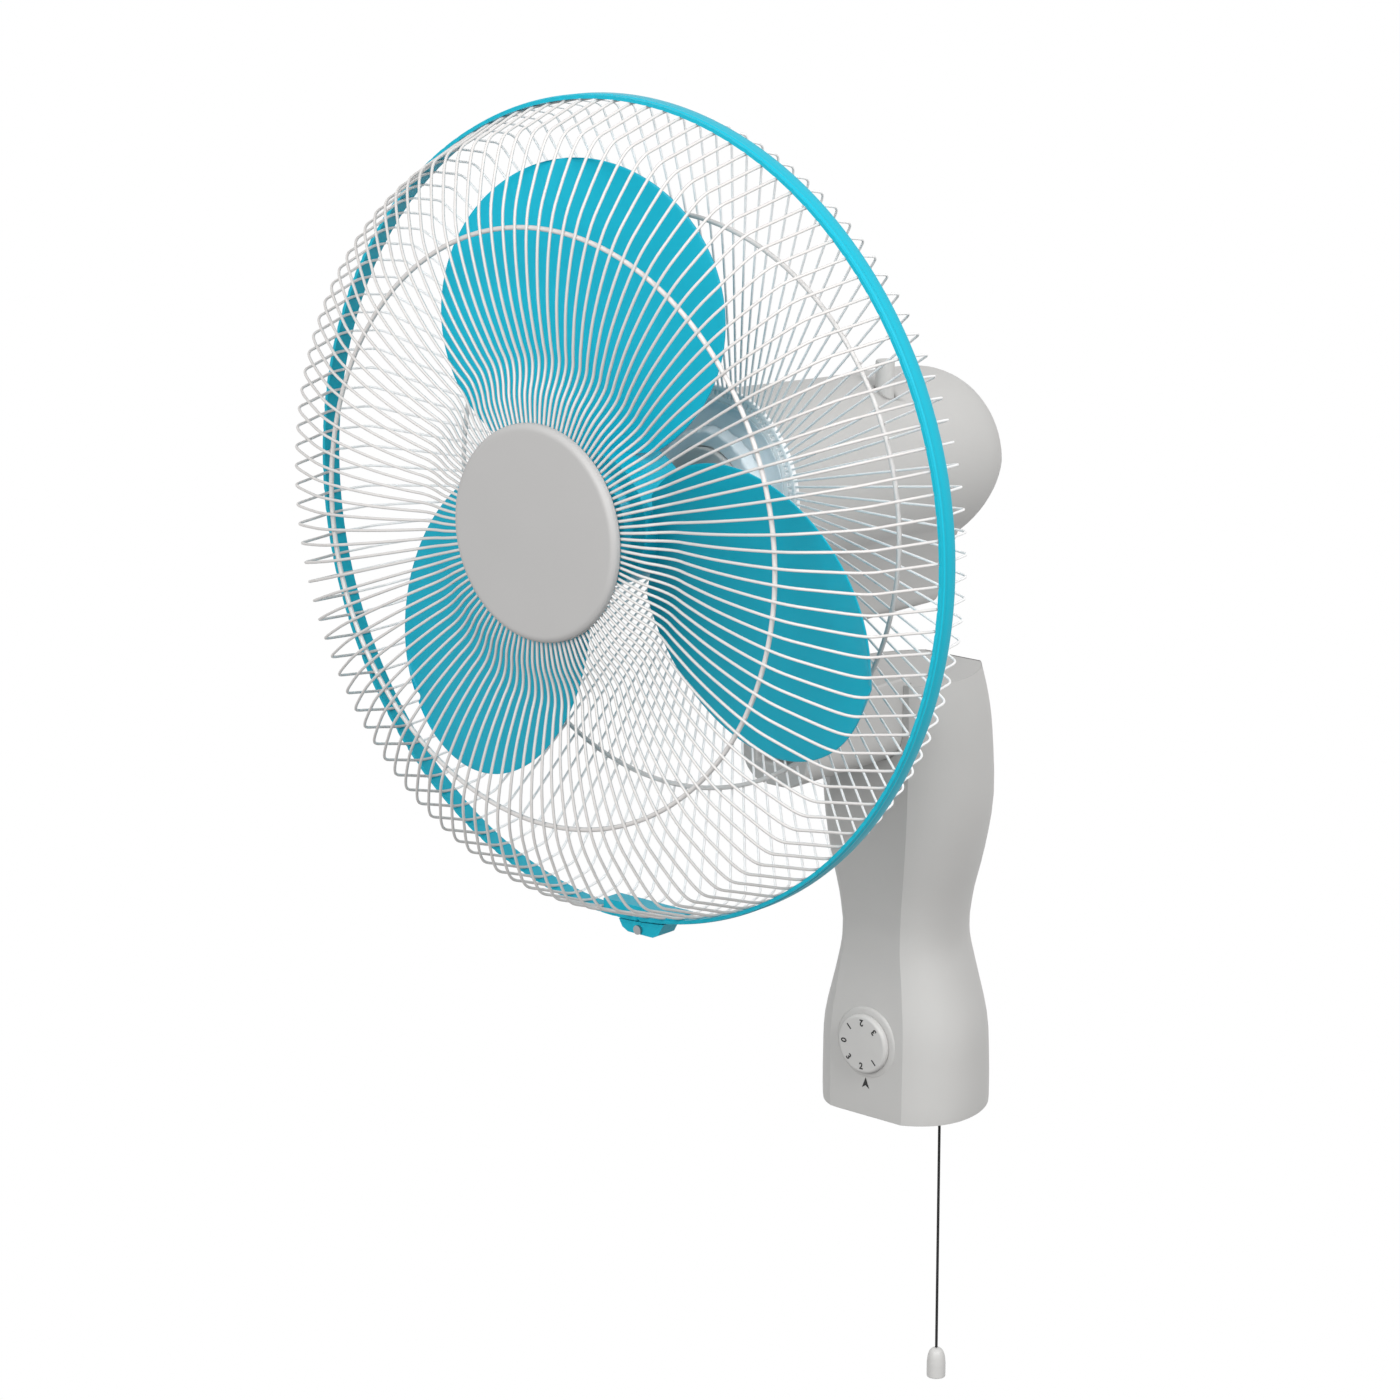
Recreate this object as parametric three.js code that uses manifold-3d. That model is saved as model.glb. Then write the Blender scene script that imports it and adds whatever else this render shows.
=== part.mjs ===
// Wall mounted fan: a waisted wall column, a tilting and oscillating head, and a caged three-blade fan.
// Millimetres, +Z up. The origin is the middle of the wall plate's upper pad, on the wall.
// The wall is the plane y = 0 and the fan blows towards -Y.
import * as THREE from 'three';
import { mergeVertices } from 'three/addons/utils/BufferGeometryUtils.js';
import Module from 'manifold-3d';

const wasm = await Module();
wasm.setup();

// ---- driving dimensions ------------------------------------------------------------------------
const gap = 0.3; // running and seating clearance
const ringFromWall = 290; // middle of the clamp ring to the wall
const axisHeight = 202; // fan axis above the wall plate's upper pad

// wall plate
const plateThickness = 2;
const plateStandoff = 6.7; // wall to the column's back cover
const padWidth = 42;
const upperPadHeight = 60;
const lowerPadHeight = 35;
const spineWidth = 12;
const padSpacing = 160; // middle of the upper pad to the middle of the lower one

// column, seen from the front; heights are below the fan axis
const columnTop = 128;
const columnBottom = 390;
const columnWall = 2.4;
const columnFront = 82.5; // front face to the wall at its fullest
const dialDrop = 344.6; // fan axis down to the dial's middle

// dial and switches
const dialRadius = 17.3;
const dialHeight = 3.7;
const collarRadius = 19;
const collarHeight = 1;
const spindleRadius = 3;
const switchRadius = 15;
const switchDepth = 16;

// pull cord
const cordRadius = 0.8;
const cordX = 18;
const cordFromWall = 36;
const cordLength = 168; // lever to toggle
const toggleHeight = 18;
const toggleRadius = 5.6;
const pullTravel = 12;

// neck
const bracketWidth = 48;
const bracketHeight = 50;
const bracketReach = 82.5; // forward of the column's front face
const bracketCornerRadius = 18;
const neckScrewX = 16;
const tiltAxisFromWall = 140;
const tiltAxisDrop = 147;
const tiltBoltRadius = 3;
const tongueWidth = 25;
const tongueRadius = 13;
const pivotFromWall = 149;
const barrelRadius = 14;
const barrelHeight = 23;
const pivotRadius = 6;
const bushWall = 1.5;

// motor
const motorFrontY = 80; // behind the middle of the clamp ring
const motorRearY = 283;
const motorFrontRadius = 54;
const motorRearRadius = 51;
const motorSag = 6; // the rear of the cover lies this much below the axis
const coverWall = 2.5;
const blockHalfWidth = 21;
const blockDrop = 87;
const blockRearY = 243;
const shaftRadius = 4;
const statorRadius = 42;
const statorLength = 34;
const rotorRadius = 22;
const bearingRadius = 11;
const bearingWidth = 7;

// guards
const wireCount = 118;
const wireRadius = 1;
const ringWireRadius = 1.6;
const ringRadius = 220; // outside of the clamp ring
const ringWidth = 11;
const ringThickness = 2;
const ringSegments = 72;
const frontRingRadius = 157;
const rearRingRadius = 155;
const badgeRadius = 57.3;
const badgeBackY = -62.5; // ahead of the middle of the clamp ring
const badgeThickness = 5;
const rearHubRadius = 57;

// blades
const bladeCount = 3;
const bladeHalfLength = 78; // each blade is an oval leaf
const bladeHalfWidth = 82;
const bladeReach = 105; // fan axis to the middle of the leaf
const bladePitch = 0.25; // slope of the leaf across its width
const bladeHubRadius = 36;
const bladeThickness = 2.2;

// oscillation gear; places are measured from the middle of the clamp ring and the fan axis
const clutchX = 24;
const clutchY = 189;
const oscKnobRadius = 5.3;
const oscKnobTop = 60;
const oscKnobTravel = 6;
const wormRadius = 6.5;
const pinionRadius = 5;
const crankThrow = 6.4;
const linkArm = 10;

// ---- finishes ----------------------------------------------------------------------------------
const finish = (color, roughness, metalness) => new THREE.MeshStandardMaterial({ color, roughness, metalness });
const greyPlastic = finish(0xc4c3c1, 0.45, 0);
const badgePlastic = finish(0xb9b8b7, 0.5, 0);
const knobPlastic = finish(0xcfcecc, 0.45, 0);
const cyanPlastic = finish(0x22b4cd, 0.35, 0);
const whiteWire = finish(0xdcdad8, 0.35, 0.2);
const dishGrey = finish(0xaab4b9, 0.45, 0.1);
const blackPlastic = finish(0x1c1c1c, 0.5, 0);
const steel = finish(0x9a9da0, 0.35, 0.9);
const copper = finish(0xb06a3b, 0.4, 0.8);
const brass = finish(0xb89a55, 0.35, 0.9);

// ---- solids ------------------------------------------------------------------------------------
const toSolid = (geometry) => {
  const plain = geometry.clone();
  plain.deleteAttribute('normal');
  plain.deleteAttribute('uv');
  const merged = mergeVertices(plain, 1e-4);
  const place = merged.attributes.position;
  const triVerts = new Uint32Array(merged.index.array);
  const corner = (k) => new THREE.Vector3().fromBufferAttribute(place, triVerts[k]);
  let volume = 0;
  for (let k = 0; k < triVerts.length; k += 3) volume += corner(k).dot(corner(k + 1).cross(corner(k + 2)));
  if (volume < 0) triVerts.reverse();
  return new wasm.Manifold(new wasm.Mesh({
    numProp: 3,
    vertProperties: new Float32Array(place.array),
    triVerts,
  }));
};

const toGeometry = (solid) => {
  const mesh = solid.getMesh();
  const geometry = new THREE.BufferGeometry();
  geometry.setAttribute('position', new THREE.BufferAttribute(new Float32Array(mesh.vertProperties), 3));
  geometry.setIndex(new THREE.BufferAttribute(new Uint32Array(mesh.triVerts), 1));
  geometry.computeVertexNormals();
  return geometry;
};

const join = (first, ...others) => others.reduce((sum, next) => sum.add(next), first);
const cut = (first, ...others) => others.reduce((rest, next) => rest.subtract(next), first);

const block = (x0, x1, y0, y1, z0, z1) => {
  const geometry = new THREE.BoxGeometry(x1 - x0, y1 - y0, z1 - z0);
  geometry.translate((x0 + x1) / 2, (y0 + y1) / 2, (z0 + z1) / 2);
  return toSolid(geometry);
};

// A round bar between two places on one axis.
const bar = (axis, radius, from, to, across, sides = 20, endRadius = radius) => {
  const geometry = new THREE.CylinderGeometry(endRadius, radius, to - from, sides);
  if (axis === 'x') geometry.rotateZ(-Math.PI / 2);
  if (axis === 'z') geometry.rotateX(Math.PI / 2);
  const middle = (from + to) / 2;
  const [a, b] = across;
  if (axis === 'x') geometry.translate(middle, a, b);
  if (axis === 'y') geometry.translate(a, middle, b);
  if (axis === 'z') geometry.translate(a, b, middle);
  return toSolid(geometry);
};

// A closed profile of [radius, place along the axis] points turned about the Y axis.
const turned = (profile, segments = 32) => {
  const points = profile.map(([radius, along]) => new THREE.Vector2(radius, along));
  const closed = points[0].x > 0 || points.at(-1).x > 0;
  if (closed) points.push(points[0].clone());
  return toSolid(new THREE.LatheGeometry(points, segments));
};

const turnedUp = (profile, segments, x, y, z) => {
  const solid = toGeometry(turned(profile, segments));
  solid.rotateX(Math.PI / 2);
  solid.translate(x, y, z);
  return toSolid(solid);
};

// Skin through rings of points that all have the same count, closed at both ends.
const skin = (rings) => {
  const count = rings[0].length;
  const positions = [];
  const triangles = [];
  rings.forEach((ring) => ring.forEach((point) => positions.push(...point)));
  for (let level = 0; level + 1 < rings.length; level += 1) {
    for (let i = 0; i < count; i += 1) {
      const j = (i + 1) % count;
      const a = level * count + i;
      const b = level * count + j;
      const c = (level + 1) * count + j;
      const d = (level + 1) * count + i;
      triangles.push(a, b, c, a, c, d);
    }
  }
  [0, rings.length - 1].forEach((level) => {
    const centre = positions.length / 3;
    const middle = [0, 1, 2].map((axis) => rings[level].reduce((sum, p) => sum + p[axis], 0) / count);
    positions.push(...middle);
    for (let i = 0; i < count; i += 1) {
      const a = level * count + i;
      const b = level * count + ((i + 1) % count);
      if (level === 0) triangles.push(b, a, centre);
      else triangles.push(a, b, centre);
    }
  });
  const geometry = new THREE.BufferGeometry();
  geometry.setAttribute('position', new THREE.Float32BufferAttribute(positions, 3));
  geometry.setIndex(triangles);
  return toSolid(geometry);
};

// Round wire through points, with flat ends.
const wire = (points, radius, sides = 3) => {
  const rings = points.map((point, i) => {
    const before = points[Math.max(i - 1, 0)];
    const after = points[Math.min(i + 1, points.length - 1)];
    const along = after.clone().sub(before).normalize();
    const side = new THREE.Vector3(0, 1, 0).cross(along).normalize();
    const up = along.clone().cross(side);
    return Array.from({ length: sides }, (_, k) => {
      const turn = (2 * Math.PI * k) / sides + Math.PI / 2;
      const offset = side.clone().multiplyScalar(radius * Math.cos(turn));
      offset.addScaledVector(up, radius * Math.sin(turn));
      return point.clone().add(offset).toArray();
    });
  });
  return skin(rings);
};

const group = new THREE.Group();
const head = new THREE.Group();
head.position.set(0, -ringFromWall, axisHeight);
group.add(head);

const add = (parent, name, solid, material) => {
  const mesh = new THREE.Mesh(toGeometry(solid), material);
  mesh.name = name;
  parent.add(mesh);
  return mesh;
};

const lerp = (a, b, t) => a + (b - a) * t;

// ---- column ------------------------------------------------------------------------------------
// Levels down the column: drop below the axis, half width of the flat front, recess of the front
// face, greatest half width and half width at the wall.
const columnLevels = [
  [columnTop, 26.5, 3, 40, 19],
  [columnTop + 3, 28, 1, 42.5, 21],
  [165, 28.8, 0, 49, 29],
  [203, 28.2, 0, 50, 31],
  [235, 25.4, 1.5, 45, 25],
  [260, 21.8, 3.8, 38.5, 17.5],
  [285, 20.2, 4.6, 35, 14],
  [308, 23.2, 3, 40, 20],
  [336, 26.6, 0.5, 48, 28.5],
  [columnBottom - 4, 26.6, 0, 50, 31],
  [columnBottom - 1, 25.8, 0.8, 48.6, 30],
  [columnBottom, 24.4, 2.2, 47, 29],
];
const columnBackY = -(plateStandoff + gap);
const sideSteps = 5;

const columnRing = ([drop, front, recess, widest, back], inset, backY) => {
  const frontY = -columnFront + recess + inset;
  const bulge = (widest - inset) * 1.12;
  const side = new THREE.CubicBezierCurve(
    new THREE.Vector2(front - inset * 0.7, frontY),
    new THREE.Vector2(bulge * 1.04, frontY + 2),
    new THREE.Vector2(bulge, backY - 18),
    new THREE.Vector2(back - inset * 0.7, backY),
  );
  const right = side.getPoints(sideSteps);
  const z = axisHeight - drop;
  const left = right.map((p) => [-p.x, p.y, z]).reverse();
  return [...right.map((p) => [p.x, p.y, z]), ...left];
};

const columnBackHalfWidth = (drop) => {
  const next = columnLevels.findIndex((level) => level[0] >= drop);
  const above = columnLevels[Math.max(next - 1, 0)];
  const below = columnLevels[Math.max(next, 0)];
  const t = below[0] > above[0] ? (drop - above[0]) / (below[0] - above[0]) : 0;
  return lerp(above[4], below[4], t);
};

const columnOutside = skin(columnLevels.map((level) => columnRing(level, 0, columnBackY)).reverse());
const hollowLevels = columnLevels.slice(1, -1);
hollowLevels[0] = [columnTop + columnWall, ...hollowLevels[0].slice(1)];
hollowLevels[hollowLevels.length - 1] = [columnBottom - columnWall, 26.5, 1, 48, 29.5];
const columnInside = skin(hollowLevels.map((level) => columnRing(level, columnWall, columnBackY)).reverse());
const coverThickness = 2;
const coverInnerY = columnBackY - coverThickness - gap;
const backOpening = (inset, y0, y1) => {
  const rings = [y0, y1].map((y) => {
    const right = hollowLevels.map((level) => [
      columnBackHalfWidth(level[0]) - columnWall - inset, y, axisHeight - level[0]]);
    right[0][2] -= inset;
    right[right.length - 1][2] += inset;
    const left = right.map(([x, at, z]) => [-x, at, z]).reverse();
    return [...right, ...left];
  });
  return skin(rings);
};

const dialZ = axisHeight - dialDrop;
const shellFrontY = -columnFront + 0.5;
const upperPostX = 14;
const upperPostDrop = 178;
const lowerPostX = 24;
const lowerPostDrop = 367;
const postPlaces = [
  [upperPostX, axisHeight - upperPostDrop],
  [-upperPostX, axisHeight - upperPostDrop],
  [lowerPostX, axisHeight - lowerPostDrop],
  [-lowerPostX, axisHeight - lowerPostDrop],
];
const postRadius = 3.2;
const screwRadius = 1.4;
const columnFloorZ = axisHeight - columnBottom;
const cordHoleRadius = 4;
let shell = cut(columnOutside, columnInside, backOpening(0, columnBackY - 6, columnBackY + 1));
postPlaces.forEach(([x, z]) => {
  shell = join(shell, bar('y', postRadius, -columnFront + columnWall, coverInnerY, [x, z], 8));
});
const dialCollar = bar('y', collarRadius, shellFrontY - collarHeight, shellFrontY + 2, [0, dialZ], 28);
shell = join(shell, dialCollar);
shell = cut(
  shell,
  bar('y', spindleRadius + 0.6, -columnFront - 9, -columnFront + 9, [0, dialZ], 16),
  bar('z', cordHoleRadius, columnFloorZ - 5, columnFloorZ + 6, [cordX, -cordFromWall], 16),
);
postPlaces.forEach(([x, z]) => {
  shell = cut(shell, bar('y', screwRadius + gap, -40, columnBackY, [x, z], 8));
});

// ---- wall plate --------------------------------------------------------------------------------
const prismY = (outline, y0, y1) => skin([y0, y1].map((y) => outline.map(([x, z]) => [x, y, z])));
const platePrism = (inset, y0, y1) => {
  const half = padWidth / 2 - inset;
  const spine = spineWidth / 2 - inset;
  const upper = upperPadHeight / 2 - inset;
  const lower = lowerPadHeight / 2 - inset;
  const slope = (padWidth - spineWidth) / 2;
  const spineTop = -upperPadHeight / 2 - slope;
  const spineBottom = -padSpacing + lowerPadHeight / 2 + slope;
  const overlap = slope / 2;
  // Each stretch of the plate is convex, so that its end faces close without a fold.
  const stretch = (right) => prismY([...right, ...right.map(([x, z]) => [-x, z]).reverse()], y0, y1);
  return join(
    stretch([[half, upper], [half, -upper], [spine, spineTop]]),
    stretch([[spine, spineTop + overlap], [spine, spineBottom - overlap]]),
    stretch([[spine, spineBottom], [half, -padSpacing + lower], [half, -padSpacing - lower]]),
  );
};
let wallPlate = cut(
  platePrism(0, -plateStandoff, 0),
  platePrism(plateThickness, -plateStandoff - 1, -plateThickness),
);
const screwHoleRadius = 2.6;
const keyholes = [[13, 14], [-13, 14], [0, -padSpacing - 6]];
keyholes.forEach(([x, z]) => {
  wallPlate = cut(wallPlate, bar('y', screwHoleRadius, -plateThickness - 1, 1, [x, z], 14));
});
add(group, 'wall_plate', wallPlate, steel);

let backCover = backOpening(gap, columnBackY - coverThickness, columnBackY);
postPlaces.forEach(([x, z]) => {
  backCover = cut(backCover, bar('y', screwRadius + gap, columnBackY - 5, columnBackY + 1, [x, z], 10));
});
// The mains grommet sits in the back cover's edge, just above the wall plate's lower pad.
const grommetRadius = 4.2;
const grommetLip = 1.6;
const grommetInset = 6.6;
const grommetRise = 5.7;
const grommetZ = -padSpacing + lowerPadHeight / 2 + grommetRadius + grommetLip + grommetRise;
const grommetX = columnBackHalfWidth(axisHeight - grommetZ) - columnWall - gap - grommetInset;
const grommetAt = [grommetX, grommetZ];
backCover = cut(backCover, bar('y', grommetRadius + gap, columnBackY - 5, columnBackY + 1, grommetAt, 12));
add(group, 'column_back_cover', backCover, greyPlastic);

const screwHeadRadius = 2.6;
postPlaces.forEach(([x, z], i) => {
  const screw = join(
    bar('y', screwRadius, -30, columnBackY + gap + 0.2, [x, z], 6),
    bar('y', screwHeadRadius, columnBackY + gap, columnBackY + gap + 1.6, [x, z], 8),
  );
  add(group, `back_cover_screw_${i + 1}`, screw, steel);
});

const grommet = cut(
  join(
    bar('y', grommetRadius, columnBackY - 6, columnBackY + gap + 0.4, grommetAt, 12),
    bar('y', grommetRadius + grommetLip, coverInnerY - 1.5, coverInnerY, grommetAt, 12),
    bar('y', grommetRadius + grommetLip, columnBackY + gap, columnBackY + gap + 1.5, grommetAt, 12),
  ),
  bar('y', 3, columnBackY - 9, columnBackY + 3, grommetAt, 10),
);
add(group, 'mains_grommet', grommet, blackPlastic);

// ---- dial and its switch -----------------------------------------------------------------------
const dialBackY = shellFrontY - collarHeight - gap;
const dialFrontY = dialBackY - dialHeight;
const dial = turned([
  [0, dialFrontY], [dialRadius - 0.8, dialFrontY], [dialRadius, dialFrontY + 0.7],
  [dialRadius + 0.4, dialBackY], [0, dialBackY],
], 28).translate([0, 0, dialZ]);
const switchFrontY = -columnFront + columnWall + 2;
const spindleEndY = switchFrontY + 3;
const dialFace = 1.6;
const spindleSocket = bar('y', spindleRadius + gap, dialFrontY + dialFace, dialBackY + 1, [0, dialZ], 14);
add(group, 'speed_knob', cut(dial, spindleSocket), knobPlastic);
const spindle = bar('y', spindleRadius, dialFrontY + dialFace + gap, spindleEndY, [0, dialZ], 14);
add(group, 'speed_switch_spindle', spindle, steel);
const speedSwitch = cut(
  join(
    bar('y', switchRadius, switchFrontY, switchFrontY + switchDepth, [0, dialZ], 24),
    block(-18, 18, switchFrontY, switchFrontY + 1.5, dialZ - 5, dialZ + 5),
  ),
  bar('y', spindleRadius + gap, switchFrontY - 1, spindleEndY + gap, [0, dialZ], 14),
);
add(group, 'speed_switch', speedSwitch, blackPlastic);

// ---- pull cord and its switch ------------------------------------------------------------------
const pullSwitchZ = columnFloorZ + 12;
const leverZ = pullSwitchZ + 6;
const cordTopZ = leverZ - 2.3;
const cordBottomZ = cordTopZ - cordLength;
const cordY = -cordFromWall;
const bushing = cut(
  join(
    bar('z', cordHoleRadius - gap, columnFloorZ - 1, columnFloorZ + columnWall + 1.5, [cordX, cordY], 16),
    bar('z', cordHoleRadius + 1.5, columnFloorZ - 2 - gap, columnFloorZ - gap, [cordX, cordY], 16),
  ),
  bar('z', cordRadius + 0.8, columnFloorZ - 5, columnFloorZ + 9, [cordX, cordY], 12),
);
add(group, 'cord_bushing', bushing, blackPlastic);

const pullCordGeometry = () => {
  const outline = new THREE.Shape();
  for (let k = 0; k < 8; k += 1) {
    const turn = (2 * Math.PI * k) / 8;
    const x = cordRadius * Math.cos(turn);
    const y = cordRadius * Math.sin(turn);
    if (k === 0) outline.moveTo(x, y);
    else outline.lineTo(x, y);
  }
  const steps = Math.round(cordLength / (6 * cordRadius));
  const route = new THREE.LineCurve3(
    new THREE.Vector3(cordX, cordY, cordTopZ), new THREE.Vector3(cordX, cordY, cordBottomZ));
  return new THREE.ExtrudeGeometry(outline, { steps, extrudePath: route });
};
add(group, 'pull_cord', toSolid(pullCordGeometry()), blackPlastic);

const toggleTopZ = cordBottomZ - gap;
const toggle = turnedUp([
  [0, toggleHeight], [toggleRadius * 0.55, toggleHeight - 1.2], [toggleRadius * 0.86, toggleHeight - 4],
  [toggleRadius, toggleHeight - 8], [toggleRadius, 0], [0, 0],
], 20, cordX, cordY, toggleTopZ - toggleHeight);
add(group, 'cord_toggle', toggle, knobPlastic);

const lever = join(
  block(cordX - 3, cordX + 2, cordY - 3, cordY + 3, leverZ - 2, leverZ),
  block(cordX - 13, cordX, cordY - 2, cordY + 2, leverZ - 2, leverZ),
);
add(group, 'pull_switch_lever', lever, brass);
const pullSwitchX = cordX - 16;
const switchBottomZ = columnFloorZ + columnWall + gap;
const leverLowestZ = leverZ - 2 - pullTravel;
const pullSwitch = cut(
  block(pullSwitchX - 12, pullSwitchX + 9, cordY - 9, cordY + 9, switchBottomZ, pullSwitchZ + 22),
  block(pullSwitchX + 2, pullSwitchX + 10, cordY - 3, cordY + 3, leverLowestZ - gap, leverZ + gap + 1),
);
add(group, 'pull_switch', pullSwitch, blackPlastic);

const capacitorDrop = 239;
const capacitorZ = axisHeight - capacitorDrop;
const capacitor = block(-15, 15, coverInnerY - 18, coverInnerY, capacitorZ - 13, capacitorZ + 13);
add(group, 'run_capacitor', capacitor, blackPlastic);
const terminalDrop = 205;
const terminalZ = axisHeight - terminalDrop;
let terminals = block(-20, 20, coverInnerY - 12, coverInnerY, terminalZ - 6, terminalZ + 6);
for (let i = 0; i < 5; i += 1) {
  const place = [(i - 2) * 7.6, terminalZ];
  terminals = cut(terminals, bar('y', 2, coverInnerY - 13, coverInnerY - 6, place, 6));
}
add(group, 'terminal_block', terminals, knobPlastic);

// ---- neck bracket ------------------------------------------------------------------------------
const bracketTopZ = axisHeight - columnTop + 4;
const bracketBottomZ = bracketTopZ - bracketHeight;
const bracketBackY = -columnFront - gap;
const bracketFrontY = -columnFront - bracketReach;
const tiltZ = axisHeight - tiltAxisDrop;
const tiltY = -tiltAxisFromWall;
const bracketOutline = () => {
  const half = bracketWidth / 2;
  const outline = [[-half, bracketTopZ], [half, bracketTopZ]];
  const turns = 5;
  for (let k = 0; k <= turns; k += 1) {
    const turn = (k / turns) * (Math.PI / 2);
    outline.push([
      half - bracketCornerRadius * (1 - Math.cos(turn)),
      bracketBottomZ + bracketCornerRadius * (1 - Math.sin(turn)),
    ]);
  }
  for (let k = turns; k >= 0; k -= 1) {
    const turn = (k / turns) * (Math.PI / 2);
    outline.push([
      -half + bracketCornerRadius * (1 - Math.cos(turn)),
      bracketBottomZ + bracketCornerRadius * (1 - Math.sin(turn)),
    ]);
  }
  return outline.reverse();
};
const slotHalf = tongueWidth / 2 + gap;
const tongueBackY = tiltY + tongueRadius + 6;
let bracket = cut(
  prismY(bracketOutline(), bracketFrontY, bracketBackY + 8),
  block(-slotHalf, slotHalf, bracketFrontY - 5, tongueBackY, tiltZ - tongueRadius - 1, bracketTopZ + 5),
  bar('x', tiltBoltRadius + gap, -bracketWidth, bracketWidth / 2 - 4, [tiltY, tiltZ], 16),
);
const bracketMiddleZ = bracketBottomZ + bracketHeight / 2;
const bracketSeat = bracketOutline().map(([x, z]) => [
  x + Math.sign(x) * gap, z + (z > bracketMiddleZ ? 9 : -gap)]);
const webY = bracketBackY + 8 + gap;
shell = cut(shell, prismY(bracketSeat, bracketBackY - 10, webY));
const webThickness = 2.4;
const web = cut(
  block(-60, 60, webY, webY + webThickness, bracketBottomZ - 6, bracketTopZ - 6).intersect(columnOutside),
  ...[-1, 1].map((side) => bar('y', screwRadius + gap, webY - 1, webY + 5, [side * neckScrewX, tiltZ], 10)),
);
shell = join(shell, web);
[-1, 1].forEach((side) => {
  const place = [side * neckScrewX, tiltZ];
  bracket = cut(bracket, bar('y', screwRadius + gap, webY - 12, webY + 1, place, 10));
});
add(group, 'column_shell', shell, greyPlastic);
add(group, 'neck_bracket', bracket, greyPlastic);
[-1, 1].forEach((side, i) => {
  const place = [side * neckScrewX, tiltZ];
  const screw = join(
    bar('y', screwRadius, webY - 11, webY + webThickness + gap + 0.2, place, 6),
    bar('y', screwHeadRadius, webY + webThickness + gap, webY + webThickness + gap + 1.6, place, 8),
  );
  add(group, `neck_bracket_screw_${i + 1}`, screw, steel);
});

const boltHeadX = -bracketWidth / 2 - gap;
const tiltBolt = join(
  bar('x', tiltBoltRadius, boltHeadX - 1, bracketWidth / 2 - 4.5, [tiltY, tiltZ], 14),
  bar('x', 6, boltHeadX - 4, boltHeadX, [tiltY, tiltZ], 6),
);
add(group, 'tilt_bolt', tiltBolt, steel);

// ---- neck casting, pivot bush and link ---------------------------------------------------------
const pivotY = -pivotFromWall;
const blockBottomZ = axisHeight - blockDrop;
const barrelTopZ = blockBottomZ - gap - 1.5;
const barrelBottomZ = barrelTopZ - barrelHeight;
const bushDepth = 20;
const linkPinRadius = 1.8;
const linkPinTopZ = blockBottomZ + 13.4;
const neck = cut(
  join(
    bar('x', tongueRadius, -tongueWidth / 2, tongueWidth / 2, [tiltY, tiltZ], 18),
    bar('z', barrelRadius, barrelBottomZ, barrelTopZ, [0, pivotY], 20),
    block(-tongueWidth / 2, tongueWidth / 2, pivotY - 12, tiltY + tongueRadius - 1, tiltZ, barrelBottomZ + 1),
    bar('z', linkPinRadius, barrelTopZ - 1, linkPinTopZ, [linkArm, pivotY], 12),
  ),
  bar('x', tiltBoltRadius + gap, -tongueWidth, tongueWidth, [tiltY, tiltZ], 14),
  bar('z', pivotRadius + bushWall + 2 * gap, barrelTopZ - bushDepth, barrelTopZ + 1, [0, pivotY], 16),
);
add(group, 'neck_casting', neck, greyPlastic);
const bush = cut(
  bar('z', pivotRadius + bushWall + gap, barrelTopZ - bushDepth + gap, barrelTopZ - gap, [0, pivotY], 16),
  bar('z', pivotRadius + gap, barrelTopZ - bushDepth - 5, barrelTopZ + 3, [0, pivotY], 16),
);
add(group, 'pivot_bush', bush, brass);

// ---- motor -------------------------------------------------------------------------------------
// From here on the places are in the head's own frame: its origin is on the fan axis in the middle
// of the clamp ring.
const headPivotY = ringFromWall - pivotFromWall;
// place along the axis and radius of the cover
const coverLevels = [
  [motorFrontY, motorFrontRadius],
  [180, motorRearRadius + 0.6],
  [250, motorRearRadius],
  [motorRearY - 19, motorRearRadius - 0.8],
  [motorRearY - 11, motorRearRadius - 4],
  [motorRearY - 4.5, motorRearRadius - 11],
  [motorRearY - 1.2, motorRearRadius - 24],
  [motorRearY, 10],
];
const coverRing = (y, radius, count = 20) => {
  const sag = (motorSag * (y - motorFrontY)) / (motorRearY - motorFrontY);
  return Array.from({ length: count }, (_, i) => {
    const turn = (2 * Math.PI * i) / count;
    return [radius * Math.cos(turn), y, radius * Math.sin(turn) - sag];
  });
};
const blockShoulder = 45;
const blockShoulderDrop = 18;
const blockSkin = (inset, y0, y1) => {
  const bottom = -blockDrop + inset;
  const half = blockHalfWidth - inset;
  const wide = blockShoulder - inset;
  const outline = [
    [wide, -blockShoulderDrop], [-wide, -blockShoulderDrop], [-half - 1.5, bottom + 6],
    [-half + 1.5, bottom], [half - 1.5, bottom], [half + 1.5, bottom + 6],
  ];
  return prismY(outline, y0, y1);
};
const coverOutside = join(
  skin(coverLevels.map(([y, radius]) => coverRing(y, radius))),
  blockSkin(0, motorFrontY, blockRearY),
);
const innerLevels = coverLevels.slice(0, -2).map(([y, radius], i) => [i === 0 ? y - 1 : y, radius - coverWall]);
innerLevels.push([motorRearY - coverWall, motorRearRadius - 26]);
const coverInside = join(
  skin(innerLevels.map(([y, radius]) => coverRing(y, radius))),
  blockSkin(coverWall, motorFrontY - 1, blockRearY - coverWall),
);
const knobHoleRadius = oscKnobRadius + 0.5;
const pivotHoleRadius = linkArm + linkPinRadius + 0.9;
const rearCover = cut(
  coverOutside,
  coverInside,
  bar('z', pivotHoleRadius, -blockDrop - 5, -blockDrop + 4, [0, headPivotY], 24),
  bar('z', knobHoleRadius, 20, 80, [clutchX, clutchY], 18),
);
add(head, 'motor_rear_cover', rearCover, greyPlastic);

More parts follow.
